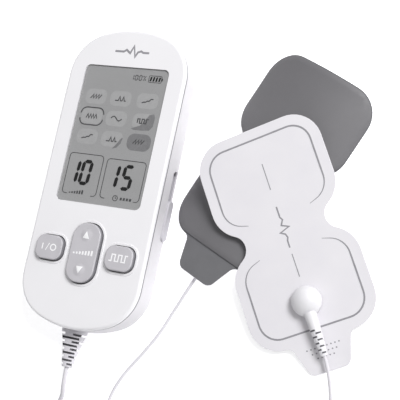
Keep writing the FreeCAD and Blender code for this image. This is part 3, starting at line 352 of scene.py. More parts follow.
def make_finishes():
    """Every material, by the name of the record's slot or of the piece it is for."""
    f = {}

    def add(name, code, roughness, **constants):
        f[name] = Finish(name, code, roughness, **constants)
        return f[name]

    add("front_shell", "F1F0F3", 0.36, Coat_Weight=0.15, Coat_Roughness=0.2).mottle(
        26, "EEEDF0").uneven(3, 0.3, 0.4).grain(0.25, 0.006, 0.3)
    add("rear_shell", "DDDBDF", 0.45).mottle(18, "D9D7DB").uneven(2, 0.4, 0.52).grain(
        0.35, 0.03, 0.5)
    add("seam_trim", "7B7A80", 0.5).mottle(4, "6F6E74").grain(0.3, 0.02, 0.5)
    add("screw_steel", "B4B5B8", 0.28, Metallic=1.0).mottle(1.5, "9A9B9F").uneven(
        0.6, 0.2, 0.4).grain(0.25, 0.01, 0.4, (1, 1, 6))
    add("window_clear", "303032", 0.05, Alpha=0.07, IOR=1.49).uneven(6, 0.03, 0.06).grain(
        12, 0.004, 0.2)
    add("holder_grey", "D9D8DD", 0.5).mottle(6, "CFCED3").grain(0.4, 0.02, 0.4)
    add("lcd_film", "B1B1B2", 0.5).mottle(30, "ABABAC").uneven(4, 0.36, 0.48).grain(
        0.2, 0.006, 0.4)
    add("lcd_glass", "8F9292", 0.1, IOR=1.5).mottle(10, "858888").uneven(3, 0.06, 0.14)
    add("strip_rubber", "4A4A4D", 0.6).mottle(1, "3C3C40", 1.0, 2.0, (6, 1, 1)).grain(0.3, 0.02)
    add("light_panel", "EFEFEA", 0.6).mottle(5, "E6E6E0").grain(0.6, 0.02)
    add("mat_rubber", "C2C1C5", 0.65).mottle(5, "B4B3B8").grain(0.3, 0.03)
    add("board_green", "1F6A3F", 0.4).mottle(1.6, "2B8150", 1.0, 6.0).uneven(1, 0.3, 0.5).grain(
        0.5, 0.03)
    add("chip_black", "26262A", 0.55).mottle(2, "313136").grain(0.15, 0.02, 0.6)
    add("capacitor_can", "B9BABD", 0.3, Metallic=1.0).mottle(2, "A4A5A9").uneven(
        0.5, 0.24, 0.4, (1, 1, 8))
    add("ferrite", "37373B", 0.6).mottle(0.8, "46464B").grain(0.2, 0.04)
    add("copper_wire", "A8623A", 0.35, Metallic=1.0).mottle(0.5, "8A4A28").grain(
        0.25, 0.05, 1.0, (1, 8, 1))
    add("battery_foil", "BFC0C4", 0.34, Metallic=0.9).mottle(6, "ABACB1").grain(3, 0.08, 0.5)
    add("foam", "3A3A3E", 0.9).mottle(1, "2C2C30").grain(0.35, 0.15)
    add("port_steel", "B4B5B9", 0.3, Metallic=1.0).mottle(1, "9C9DA2").uneven(
        0.4, 0.22, 0.4, (6, 1, 1))
    add("track_grey", "BAB8BE", 0.5).mottle(8, "B2B0B6").grain(0.3, 0.02, 0.5)
    add("slider_grey", "CAC8CE", 0.48).mottle(6, "C2C0C6").grain(0.3, 0.025, 0.5)
    add("socket_black", "2B2B2F", 0.5).mottle(3, "37373C").grain(0.2, 0.02)
    # keys: painted shade, a darker grey 807F84 on the side walls that turn away from straight up
    add("key_grey", "C6C4C9", 0.42, Coat_Weight=0.1, Coat_Roughness=0.3).mottle(
        7, "C0BEC3").uneven(1.5, 0.36, 0.48).grain(0.28, 0.02, 0.5).painted_side_shade("807F84")
    add("pin_metal", "D6CFBE", 0.2, Metallic=1.0).mottle(2, "C4BCA8").uneven(0.6, 0.14, 0.3)
    add("boot_grey", "DEDCE1", 0.5).mottle(4, "D6D4DA").uneven(1, 0.45, 0.6).grain(0.25, 0.02, 0.5)
    add("cord_grey", "DEDCE1", 0.5).mottle(9, "D6D4DA").uneven(1.2, 0.4, 0.55).grain(
        0.4, 0.02, 0.5)
    add("snap_white", "E9E8EB", 0.36, Coat_Weight=0.15, Coat_Roughness=0.25).mottle(
        6, "E4E3E7").uneven(1.2, 0.3, 0.42).grain(0.4, 0.012, 0.4)
    for name in ("snap_metal", "stud_metal"):
        add(name, "D2D3D7", 0.16, Metallic=1.0).mottle(2, "BEBFC4").uneven(0.5, 0.1, 0.26)
    add("pad_backing", "E6E4E8", 0.75).mottle(14, "E2E0E5").uneven(0.8, 0.62, 0.82).grain(
        0.9, 0.02, 0.35, detail=5.0).weave(0.5, 0.012, 0.35)
    add("carbon_film", "6E6E71", 0.55).mottle(12, "666669").uneven(1, 0.45, 0.62).grain(
        0.4, 0.02, 0.5)
    add("gel", "737275", 0.55).mottle(40, "6B6A6D").uneven(
        2.5, 0.5, 0.62).weave(0.9, 0.012, 0.2).grain(0.6, 0.01, 0.3)
    add("print_grey", "8E8D92", 0.6).mottle(2, "99989D").grain(0.2, 0.01)
    add("print_white", "FBFBFC", 0.5).mottle(2, "F2F2F4").grain(0.2, 0.01)
    for name, code, roughness, size, drift in (
            ("lcd_black", "0C0C0D", 0.6, 3, "101012"), ("lcd_dark", "4C4C4E", 0.4, 3, "545456"),
            ("lcd_shade", "8E8E90", 0.4, 2, "848486"), ("lcd_light", "BABABB", 0.4, 2, "B5B5B6")):
        add(name, code, roughness).mottle(size, drift).uneven(1, 0.34, 0.46)
    # painted shade for the walls of the strain reliefs' slots
    add("painted_slot_shade", "8A898E", 0.7).mottle(1, "7F7E83").grain(0.2, 0.02)
    add("tie", "57575C", 0.5).mottle(2, "4C4C51").grain(0.2, 0.02)
    return {name: made.material for name, made in f.items()}


def paint_nodes():
    """Give each CAD node that stays the material of its slot."""
    for row in frame["record"]["subparts"]:
        node = frame["nodes"][row["node"]]
        node.data.materials.clear()
        node.data.materials.append(paint[row["material_slot"]])


# -------- pads: where they lie
def joint_place(name):
    joint = next(j for j in frame["joints"] if j["name"] == name)
    return Vector(joint["pos_m"]), Vector(joint["axis"]).normalized()


def pad_place(joint, degrees, side):
    """Origin at the stud, y away from the tab, z out of the backing. side is -1 for gel side up."""
    origin, axis = joint_place(joint)
    out, turn = axis * side, math.radians(degrees)
    ahead = Vector((-math.sin(turn), math.cos(turn), 0))
    ahead = (ahead - out * ahead.dot(out)).normalized()
    place = Matrix((ahead.cross(out), ahead, out)).transposed().to_4x4()
    place.translation = origin
    return place


def on_pad_a(x, y, height):
    return place_a @ (Vector((x, y, height)) * MM)


def on_pad_b(x, y, height):
    angle = x / CURL
    reach = CURL - height
    return place_b @ (Vector((reach * math.sin(angle), y, CURL - reach * math.cos(angle))) * MM)


# -------- cords
def coil_turns(centre, start, turns, way, outer, inner, low, high):
    """Turns wound inwards on the table, then back outwards on top of them."""
    per_turn, climb_turns = 16, 0.4
    count = round(turns * per_turn)
    points = []
    for i in range(count + 1):
        done = turns * i / count
        angle = start + way * TAU * done
        radius = inner + (outer - inner) * abs(1 - 2 * done / turns)
        climb = min(1.0, max(0.0, (done - turns / 2 + 0.05) / climb_turns))
        height = low + (high - low) * climb * climb * (3 - 2 * climb)
        x, y = centre[0] + radius * math.cos(angle), centre[1] + radius * math.sin(angle)
        points.append((x, y, height))
    return points


def cord(name, points, radius):
    """A round cord on one smooth curve with these control points."""
    curve = bpy.data.curves.new(name, "CURVE")
    curve.dimensions = "3D"
    curve.bevel_depth = radius * MM
    curve.bevel_resolution = 5
    curve.resolution_u = 6
    curve.use_fill_caps = True
    spline = curve.splines.new("NURBS")
    spline.points.add(len(points) - 1)
    for knot, point in zip(spline.points, points):
        knot.co = (*[value * MM for value in point], 1.0)
    spline.order_u = 3
    spline.use_endpoint_u = True
    curve.materials.append(paint["cord_grey"])
    made = bpy.data.objects.new(name, curve)
    bpy.context.scene.collection.objects.link(made)
    return made


def snap_end(place):
    """The last two points of a branch, straight into the snap connector's strain relief."""
    return [tuple(place @ (Vector((0, y, NECK_Z)) * MM) / MM) for y in (-27.5, -22.5)]


def tie(cord_name, angle, inner, outer, top):
    """A flat band round a coil's bundle of turns, at that angle, between two radii."""
    thick, width = 0.28, 3.2
    middle, span = (inner + outer) / 2, outer - inner
    around = rounded_rectangle(middle, top / 2, span, top, 0.9, 5)
    within = rounded_rectangle(middle, top / 2, span - 2 * thick, top - 2 * thick, 0.65, 5)
    out = Vector((math.cos(angle), math.sin(angle), 0))
    aside = Vector((-out.y, out.x, 0))
    centre = Vector((*COIL[cord_name], 0.02))
    rings = []
    for path, shift in ((within, -0.5), (around, -0.5), (around, 0.5), (within, 0.5)):
        rings.append([(centre + out * r + Vector((0, 0, z)) + aside * (shift * width)) * MM
                      for r, z in path])
    points, faces = loft(rings + rings[:1], capped=False)
    piece = add_mesh(cord_name + "_tie", points, faces, paint["tie"])
    return attach(piece, "lead_set", "boot_grey")


def make_cords():
    """The trunk and both branches, each with its spare length wound into a coil."""
    trunk_layers, branch_layers = (1.37, 3.39), (1.09, 2.51)
    floor, deck, fitting = 0.75, 1.05, 1.6  # heights of a cord's middle
    routes = {}
    routes["trunk"] = [
        (BOOT_X, -83, BOOT_Z), (BOOT_X, -89.5, BOOT_Z), (-4.2, -97.5, 2.4), (-11.5, -105, deck),
        (-19.5, -110.5, deck), (-22, -118.5, deck),
        *coil_turns(COIL["trunk"], math.pi, 10.25, 1, 16, 6, *trunk_layers),
        (3, -142, 2.9), (12, -140.5, 1.3), (22, -137.5, deck), (30.5, -136, fitting),
        (37, -136, fitting)]
    routes["branch_a"] = [
        (49, -137.4, fitting), (56, -137.4, fitting), (66.5, -136.6, floor),
        (76.5, -131.5, floor), (84, -125.6, floor),
        *coil_turns(COIL["branch_a"], 1.5 * math.pi, 5.25, 1, 10.25, 6.55, *branch_layers),
        (103.4, -104.5, 1.3), (106.5, -95, floor), (111, -86, floor), (113.6, -77, floor),
        *snap_end(place_a)]
    routes["branch_b"] = [
        (49, -134.6, fitting), (55, -134.6, fitting), (61.5, -130, floor), (62.5, -121.5, floor),
        (56.5, -116.3, floor), (48, -116.2, floor), (38.5, -118.8, floor),
        *coil_turns(COIL["branch_b"], 1.5 * math.pi, 5.25, -1, 9.55, 5.85, *branch_layers),
        (17.4, -101.5, 1.2), (16.9, -92, floor), (20.9, -81.5, floor), (28.1, -71, floor),
        (34.4, -60.5, floor), (38.8, -49.5, floor), *snap_end(place_b)]
    made = {}
    for name, points in routes.items():
        piece = cord(name + "_cord", points, 1.0 if name == "trunk" else 0.7)
        attach(piece, "lead_set", "cord_grey", name + "_lead", name + "_coil", name + "_tail")
        made[name] = piece
    return made, {"trunk": tie("trunk", 0.9, 4.6, 17.4, 4.72),
                  "branch_a": tie("branch_a", 2.2, 5.5, 11.3, 3.5),
                  "branch_b": tie("branch_b", 0.7, 4.8, 10.6, 3.5)}


# -------- strain reliefs
class Slots:
    """Boxes that cut a strain relief's slots and leave a painted shade, the cutter's mid grey, on the slot walls.
    place takes a point in millimetres to its spot.
    """

    def __init__(self, place):
        self.place, self.points, self.faces = place, [], []

    def add(self, low, high):
        start = len(self.points)
        self.points += [self.place(p) for p in box_points(low, high)]
        self.faces += [tuple(start + i for i in face) for face in BOX_FACES]

    def cut(self, piece):
        tool = add_mesh("cutter", self.points, self.faces, paint["painted_slot_shade"])
        apply_boolean(piece, tool, "DIFFERENCE")


def make_plug_boot():
    """Collar and tapered strain relief with staggered slots."""
    collar, lost = (11.5, 8.0, 3.6), (6.7, 3.2, 1.5)  # width, height and corner, and their loss
    collar_end, taper, steps = -67.6, 15.0, 12
    stations = [(-61.2, *collar), (collar_end, *collar)]
    for i in range(1, steps + 1):
        share = i / steps
        bow = share + 0.12 * math.sin(math.pi * share)
        stations.append((collar_end - taper * share, *(a - b * bow for a, b in zip(collar, lost))))
    stations.append((-83.0, 4.0, 4.0, 1.8))
    rings = [[Vector((BOOT_X + x, y, BOOT_Z + z)) * MM
              for x, z in rounded_rectangle(0, 0, width, height, corner, 7)]
             for y, width, height, corner in stations]
    boot = add_mesh("plug_boot_ribbed", *loft(rings), paint["boot_grey"])
    slots = Slots(lambda p: p * MM)
    slot, pitch, core = 0.45, 1.6, 1.2
    for row in range(9):
        y = -68.9 - pitch * row
        half = (collar[0] - lost[0] * (collar_end - y) / taper) / 2
        if row % 2:
            reach = 0.84 * half
            for low, high in ((BOOT_Z + core, 14), (-1, BOOT_Z - core)):
                slots.add((BOOT_X - reach, y - slot, low), (BOOT_X + reach, y + slot, high))
        else:
            for low, high in ((BOOT_X + 0.3 * half, 6), (-12, BOOT_X - 0.42 * half)):
                slots.add((low, y - slot, -1), (high, y + slot, 14))
    slots.cut(boot)
    smooth_again(boot)
    attach(boot, "lead_set", "boot_grey", "plug_boot")


def smooth_again(piece, sharp=32.0):
    piece.data.polygons.foreach_set("use_smooth", [True] * len(piece.data.polygons))
    piece.data.set_sharp_from_angle(angle=math.radians(sharp))


def turned(profile, count, place, x=0, y=0):
    """Rings of a form turned about an upright axis, from (radius, height) pairs."""
    return [[place @ (Vector((*point, height)) * MM) for point in circle(x, y, radius, count)]
            for radius, height in profile]


def make_snap(letter, place):
    """Domed snap connector, open underneath for its ring, with a slotted strain relief."""
    crown, top, side, bore, low = 7.47, 6.3, 6.2, 3.75, 0.75
    profile = [(bore, 3.1), (bore, low), (5.85, low), (6.05, low + 0.12), (side, low + 0.4),
               (side, 2.5), (6.17, 2.85), (6.02, 3.2)]
    for i in range(9):
        radius = 5.7 * (1 - i / 8) + 0.02
        profile.append((radius, top - crown + math.sqrt(crown * crown - radius * radius)))
    rings = turned(profile, 64, place)
    dome = add_mesh("snap_%s_shell" % letter, *loft(rings), paint["snap_white"])
    sideways = (place @ Matrix.Translation((0, 0, NECK_Z * MM))
                @ Matrix.Rotation(math.pi / 2, 4, "X"))
    neck = [(2.6, 4.5), (2.6, 6.0), (2.36, 7.6), (2.3, 9.5), (2.26, 11.0)]
    neck += [(2.26 - 0.067 * (z - 11.0), z) for z in (14, 17, 20, 22.0)]
    neck += [(1.38, 22.4), (1.1, 22.5)]
    relief = add_mesh("relief", *loft(turned(neck, 40, sideways)), paint["snap_white"])
    slots = Slots(lambda p: sideways @ (p * MM))
    slot, pitch, core, reach = 0.33, 1.32, 0.75, 4
    for row in range(8):
        y = 11.9 + pitch * row
        side_low, side_high = ((-reach, 0.1), (-0.1, reach))[row % 2]
        for low, high in ((core, reach), (-reach, -core)):
            slots.add((side_low, low, y - slot), (side_high, high, y + slot))
    slots.cut(relief)
    apply_boolean(dome, relief, "UNION")
    smooth_again(dome)
    attach(dome, "lead_set", "snap_white", "snap_housing_" + letter)
    return dome


# -------- pads: how they look
WAIST_X = PAD_HALF - WAIST_CORNER
WAIST_RISE = math.sqrt((WAIST_CORNER + NOTCH) ** 2 - (NOTCH_X - WAIST_X) ** 2)


def pad_bends(inset, with_tab):
    """Arcs of a pad's outline, anticlockwise from the lower right: x, y, radius, side."""
    top, low = WAIST + LOBE - inset, WAIST - LOBE + inset
    corner, inner = END_CORNER - inset, WAIST_CORNER - inset
    corner_x = PAD_HALF - inset - corner
    right = [(corner_x, low + corner, corner, 1), (WAIST_X, WAIST - WAIST_RISE, inner, 1),
             (NOTCH_X, WAIST, NOTCH + inset, -1), (WAIST_X, WAIST + WAIST_RISE, inner, 1),
             (corner_x, top - corner, corner, 1)]
    if with_tab:
        length, end_half, root_half, end_corner, root_corner = 13.0, 9.4, 11.8, 3.6, 3.4
        end = WAIST - LOBE - length + inset
        right = [(end_half - end_corner, end + end_corner, end_corner - inset / 2, 1),
                 (root_half + root_corner, low - root_corner, root_corner, -1)] + right
    return right + [(-x, y, r, s) for x, y, r, s in reversed(right)]


def pad_outline(inset, with_tab):
    """Points along the outline; the same count at every inset."""
    bends = pad_bends(inset, with_tab)
    headings = []
    for here, there in zip(bends, bends[1:] + bends[:1]):
        gap = Vector((there[0] - here[0], there[1] - here[1]))
        step = there[3] * there[2] - here[3] * here[2]
        headings.append(math.atan2(gap.y, gap.x) - math.asin(max(-1, min(1, step / gap.length))))
    path = []
    for i, (x, y, radius, side) in enumerate(bends):
        enter, leave = (h - side * math.pi / 2 for h in (headings[i - 1], headings[i]))
        sweep = (leave - enter) % TAU if side > 0 else -((enter - leave) % TAU)
        steps = 10
        for k in range(steps + 1):
            angle = enter + sweep * k / steps
            here = (x + radius * math.cos(angle), y + radius * math.sin(angle))
            if k or not path or math.dist(here, path[-1]) > 1e-6:
                path.append(here)
    return path


def parts_in(here, there, step):
    return max(1, round((Vector(there) - Vector(here)).length / step))


def divided(here, there, parts):
    """Points at equal steps from here, without there itself."""
    return [tuple(Vector(here).lerp(Vector(there), k / parts)) for k in range(parts)]


def evened(path, step, like=None):
    """The closed path with long stretches divided, or divided as those of another path are."""
    like, out = like or path, []
    for here, there, a, b in zip(path, path[1:] + path[:1], like, like[1:] + like[:1]):
        out += divided(here, there, parts_in(a, b, step))
    return out


def flat_fill(outline, spacing):
    """A triangle net inside an outline: points, with the outline's first, and faces."""
    xs, ys = [p[0] for p in outline], [p[1] for p in outline]
    edge = [Vector(p) for p in outline]
    points = list(edge)
    row, y = 0, min(ys) + spacing
    while y < max(ys):
        x = min(xs) + spacing * (0.5 + 0.5 * (row % 2))
        while x < max(xs):
            here = Vector((x, y))
            if inside(here, outline) and min((here - e).length for e in edge) > 0.6 * spacing:
                points.append(here)
            x += spacing
        y += spacing * 0.866
        row += 1
    count = len(outline)
    edges = [(i, (i + 1) % count) for i in range(count)]
    net = geometry.delaunay_2d_cdt(points, edges, [tuple(range(count))], 1, 1e-6)
    given = [sources[0] for sources in net[3]]
    return [tuple(p) for p in points], [tuple(given[i] for i in face) for face in net[2]]


def inside(point, outline):
    within = False
    for (ax, ay), (bx, by) in zip(outline, outline[1:] + outline[:1]):
        level = (ay > point.y) != (by > point.y)
        if level and point.x < (bx - ax) * (point.y - ay) / (by - ay) + ax:
            within = not within
    return within


def ripple(x, y, letter):
    """Slight unevenness of the whole laminate, in millimetres."""
    shift = 0.0 if letter == "a" else 31.7
    return 0.16 * noise.noise(Vector((x / 19 + shift, y / 19, 0.5)))


def pad_layer(name, letter, depths, inset, with_tab, edge, sharp, material):
    """One closed layer of a pad between two depths below the backing's face, with rounded edges."""
    onto = on_pad_a if letter == "a" else on_pad_b
    inner = pad_outline(inset + edge, with_tab)
    outline = evened(inner, 1.6)
    outer = evened(pad_outline(inset, with_tab), 1.6, inner)
    flat, net = flat_fill(outline, 2.2)
    count, total = len(outline), len(flat)
    upper, lower = depths
    depth = lower - upper
    points = [onto(x, y, -level + ripple(x, y, letter)) for level in depths for x, y in flat]
    for share in (0.25, 0.75):
        points += [onto(x, y, -upper - depth * share + ripple(x, y, letter)) for x, y in outer]
    faces = net + [tuple(total + i for i in reversed(face)) for face in net]
    ladders = [0, 2 * total, 2 * total + count, total]
    for first, second in zip(ladders, ladders[1:]):
        for i in range(count):
            j = (i + 1) % count
            faces.append((first + i, second + i, second + j, first + j))
    return add_mesh(name, points, faces, material, sharp)


def lobe_line(way):
    """The printed line round one lobe, open towards the waist. way is 1 for the far lobe."""
    inset, width, lead_in, start = 4.6, 0.72, 3.2, -72
    corner, inner = END_CORNER - inset, WAIST_CORNER - inset
    side, end = PAD_HALF - inset - corner, LOBE - inset - corner
    first, across = math.radians(start), math.radians(start + 90)
    path = [(WAIST_X + inner * math.cos(first) - lead_in * math.cos(across),
             WAIST_RISE + inner * math.sin(first) - lead_in * math.sin(across))]
    path += [(WAIST_X + inner * math.cos(a), WAIST_RISE + inner * math.sin(a))
             for a in [math.radians(start + 9 * i) for i in range(9)]]
    path += [(side + corner * math.cos(a), end + corner * math.sin(a))
             for a in [math.radians(9 * i) for i in range(11)]]
    path += [(-x, y) for x, y in reversed(path)]
    path = [(x, WAIST + way * y) for x, y in path]
    fine = []
    for here, there in zip(path, path[1:]):
        fine += divided(here, there, parts_in(here, there, 1.2))
    fine.append(path[-1])
    count, thinning = len(fine), 14
    widths = [width * min(1.0, 0.25 + 0.75 * min(i, count - 1 - i) / thinning)
              for i in range(count)]
    return fine, widths


def pulse_path(x, y, length, height, turn=0.0):
    """A flat line with one sharp beat: a generic pulse sign."""
    shape = [(-0.5, 0), (-0.24, 0), (-0.17, 0.32), (-0.1, 0), (-0.05, -0.2), (0.03, 1.0),
             (0.11, -0.75), (0.17, 0), (0.26, 0.22), (0.33, 0), (0.5, 0)]
    cos, sin = math.cos(turn), math.sin(turn)
    return [(x + px * length * cos - py * height * sin, y + px * length * sin + py * height * cos)
            for px, py in shape]


def pad_print(letter):
    onto = on_pad_a if letter == "a" else on_pad_b
    marks = Print(lambda x, y, h: onto(x, y, h + ripple(x, y, letter)), -0.04, 0.05)
    for way in (1, -1):
        marks.band(*lobe_line(way))
    steps = 8
    for low, high in ((18.3, 29.6), (-19.0, -9.3)):
        path = [(0, WAIST + low + (high - low) * i / steps) for i in range(steps + 1)]
        marks.band(path, 0.36)
    marks.band(pulse_path(0.0, WAIST + 2.1, 17.5, 2.4, -math.pi / 2), 0.62)
    for row, count in enumerate((9, 7, 5)):  # grip dots on the tab
        for i in range(count):
            marks.disc((i - (count - 1) / 2) * 1.7, -18.6 - 2.0 * row, 0.33, 8)
    piece = marks.build("pad_%s_print" % letter, paint["print_grey"])
    attach(piece, "electrode_" + letter, "pad_backing")


def make_pads():
    for letter in "ab":
        body = "electrode_" + letter
        parts = (("backing", 0.0, True, 0.08, 30, "pad_backing"),
                 ("film", 0.1, True, 0.06, 30, "carbon_film"),
                 ("gel", 0.7, False, 0.3, 50, "gel"))
        for part, inset, with_tab, edge, sharp, look in parts:
            name = "pad_%s_%s" % (letter, part)
            piece = pad_layer(name + "_soft", letter, LAYERS[part], inset, with_tab, edge, sharp,
                              paint[look])
            attach(piece, body, look, name)
        pad_print(letter)


# -------- display
SEGMENTS = {"0": "abcdef", "1": "bc", "5": "acdfg"}


def digit(marks, sign, x, y, width, height, stroke):
    """A seven-segment digit, leaning a little."""
    gap = stroke * 0.06
    across, half = width / 2, height / 2
    ends = {"a": ((-across, half), (across, half)), "b": ((across, half), (across, 0)),
            "c": ((across, 0), (across, -half)), "d": ((-across, -half), (across, -half)),
            "e": ((-across, 0), (-across, -half)), "f": ((-across, half), (-across, 0)),
            "g": ((-across, 0), (across, 0))}
    for segment in SEGMENTS[sign]:
        a, b = (Vector(p) for p in ends[segment])
        along = (b - a).normalized()
        a, b = a + along * gap, b - along * gap
        aside = Vector((-along.y, along.x)) * stroke / 2
        nib = along * stroke / 2
        hexagon = [a, a + nib - aside, b - nib - aside, b, b - nib + aside, a + nib + aside]
        marks.shape([(x + p.x + 0.07 * p.y, y + p.y) for p in hexagon])


def face_place(height):
    return lambda x, y, h: Vector((x, y, height / MM + h)) * MM


WAVES = {
    "square": [(0, 0), (0, 1), (0.2, 1), (0.2, 0), (0.4, 0), (0.4, 1), (0.6, 1), (0.6, 0), (0.8, 0),
               (0.8, 1), (1, 1)],
    "saw": [(0, 0), (0.25, 1), (0.26, 0), (0.5, 1), (0.51, 0), (0.75, 1), (0.76, 0), (1, 1)],
    "ramp": [(0, 0), (0.2, 0.2), (0.35, 0.2), (0.5, 0.5), (0.65, 0.5), (0.8, 1), (1, 1)],
    "peak": [(0, 0), (0.3, 0), (0.4, 1), (0.5, 0), (0.65, 0), (0.75, 1), (0.85, 0), (1, 0)],
    "zigzag": [(0, 0), (0.12, 1), (0.25, 0), (0.38, 1), (0.5, 0), (0.62, 1), (0.75, 0), (0.88, 1),
               (1, 0)],
    "swell": [(i / 12, 0.5 + 0.5 * math.sin(TAU * i / 12)) for i in range(13)],
}


def make_display():
    """Prints on the display film. at gives a spot by its share of the width and of the length."""
    low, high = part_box("lcd_glass")
    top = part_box("lcd_polariser")[1].z
    width, length = (high.x - low.x) / MM, (high.y - low.y) / MM
    left, upper = low.x / MM + 0.55, high.y / MM - 0.1

    def at(across, down):
        return left + width * across, upper - length * down

    black = Print(face_place(top), 0.02, 0.06)
    dark = Print(face_place(top), 0.02, 0.05)
    shade = Print(face_place(top), 0.012, 0.03)
    light = Print(face_place(top), 0.005, 0.015)
    # nine mode cells: one ringed, one shaded all over, two with a shaded corner
    columns, rows = (0.17, 0.48, 0.81), (0.222, 0.372, 0.525)
    kinds = ("saw", "peak", "ramp", "zigzag", "swell", "square", "ramp", "peak", "saw")
    wave_w, wave_h = 5.4, 1.9
    for number, kind in enumerate(kinds):
        x, y = at(columns[number % 3], rows[number // 3])
        light.shape(rounded_rectangle(x, y, 10.4, 6.9, 2.6))
        wave = [(x + (px - 0.5) * wave_w, y + (py - 0.5) * wave_h) for px, py in WAVES[kind]]
        dark.band(wave, 0.5)
    ring = rounded_rectangle(*at(columns[0], rows[1]), 11.6, 8.0, 2.9, 5)
    arcs = len(ring) // 2
    for start in (0, arcs):
        dark.band(ring[start:start + arcs], 0.5)
    x, y = at(columns[2], rows[2])
    shade.shape(rounded_rectangle(x + 0.2, y - 0.2, 11.6, 7.6, 3.2))
    large = [(-5.2, -3.6), (-1.0, -2.0), (2.6, 3.1), (4.6, 3.6), (5.4, 2.0), (5.2, -2.0),
             (3.8, -3.8), (0.5, -4.2), (-4.0, -4.2)]
    small = [(1.0, -4.2), (2.4, -2.6), (4.4, 0.6), (5.3, 1.2), (4.9, -1.6), (3.2, -3.6)]
    for column, row, outline in ((2, 1, large), (1, 2, small)):
        x, y = at(columns[column], rows[row])
        shade.shape([(x + px, y + py) for px, py in outline])
    # two large numbers, each in a box that is open at the bottom
    for sign, across in (("1", 0.105), ("0", 0.256), ("1", 0.6), ("5", 0.77)):
        digit(black, sign, *at(across, 0.79), 3.9, 9.9, 1.6)
    corner, steps, foot = 1.6, 4, 1.0
    for west, east, north, south in ((0.015, 0.44, 0.655, 0.955), (0.49, 0.965, 0.667, 0.955)):
        (x0, y0), (x1, y1) = at(west, north), at(east, south)
        around = rounded_rectangle((x0 + x1) / 2, (y0 + y1) / 2, x1 - x0, y0 - y1, corner, steps)
        gap = 3 * (steps + 1)
        opened = around[gap:] + around[:gap]
        (first_x, first_y), (last_x, last_y) = opened[0], opened[-1]
        dark.band([(first_x - foot, first_y), *opened, (last_x + foot, last_y)], 0.33)
    # rising bars under the first, a clock and dashes under the second
    x, y = at(0.19, 0.935)
    for i in range(6):
        tall = 0.5 + 0.28 * i
        dark.bar(x + (i - 2.5) * 1.25, y - 1.0 + tall / 2, 0.8, tall)
    x, y = at(0.68, 0.945)
    dark.band(circle(x, y, 1.15, 20), 0.35, True)
    dark.band([(x, y + 0.75), (x, y), (x + 0.6, y)], 0.3)
    for i in range(4):
        dark.bar(x + 2.85 + 1.5 * i, y, 1.0, 1.2, 0.05)
    # the charge: a number, a percent sign and a cell with four bars
    for number, sign in enumerate("100"):
        digit(dark, sign, *at(0.565 + 0.05 * number, 0.056), 1.15, 2.2, 0.42)
    x, y = at(0.715, 0.056)
    dark.band([(x - 0.5, y - 1.1), (x + 0.6, y + 1.1)], 0.3)
    dark.disc(x - 0.45, y + 0.7, 0.32)
    dark.disc(x + 0.5, y - 0.7, 0.32)
    x, y = at(0.845, 0.058)
    dark.band(rounded_rectangle(x, y, 6.2, 3.0, 0.4, 2), 0.28, True)
    dark.bar(x + 3.45, y, 0.5, 1.2)
    for i in range(4):
        black.bar(x - 2.05 + 1.4 * i, y, 0.8, 2.0, 0.15)
    for name, marks, look in (("digits", black, "lcd_black"), ("lines", dark, "lcd_dark"),
                              ("shades", shade, "lcd_shade"), ("cells", light, "lcd_light")):
        attach(marks.build("display_" + name, paint[look]), "case", "lcd_film")


# -------- signs on the case and keys
def box_middle(node):
    """The middle of a node's box, in millimetres, and the height of its top, in metres."""
    low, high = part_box(node)
    return (low.x + high.x) / 2 / MM, (low.y + high.y) / 2 / MM, high.z


def make_signs():
    mark = Print(face_place(FACE * MM))
    mark.band(pulse_path(0.6, 56.8, 17.0, 2.8), 0.95)
    attach(mark.build("case_sign", paint["print_grey"]), "case", "seam_trim")
    stroke = 0.55
    x, y, top = box_middle("power_key")
    power = Print(face_place(top))
    power.band([(x - 3.1, y - 1.3), (x - 3.1, y + 1.3)], stroke)
    power.band([(x - 1.3, y - 1.6), (x + 0.1, y + 1.6)], 0.4)
    power.band(circle(x + 2.3, y, 1.3, 24), stroke, True)
    attach(power.build("power_sign", paint["print_white"]), "power_button", "key_grey")
    x, y, top = box_middle("mode_key")
    mode = Print(face_place(top))
    half, turns = 1.4, (-3.2, -1.6, 0, 1.6, 3.2)
    steps = [(-4.4, -half)]
    for number, turn in enumerate(turns):
        rise = half if number % 2 else -half
        steps += [(turn, rise), (turn, -rise)]
    steps.append((4.4, half))
    mode.band([(x + a, y + b) for a, b in steps], stroke)
    attach(mode.build("mode_sign", paint["print_white"]), "mode_button", "key_grey")
    make_rocker_signs()


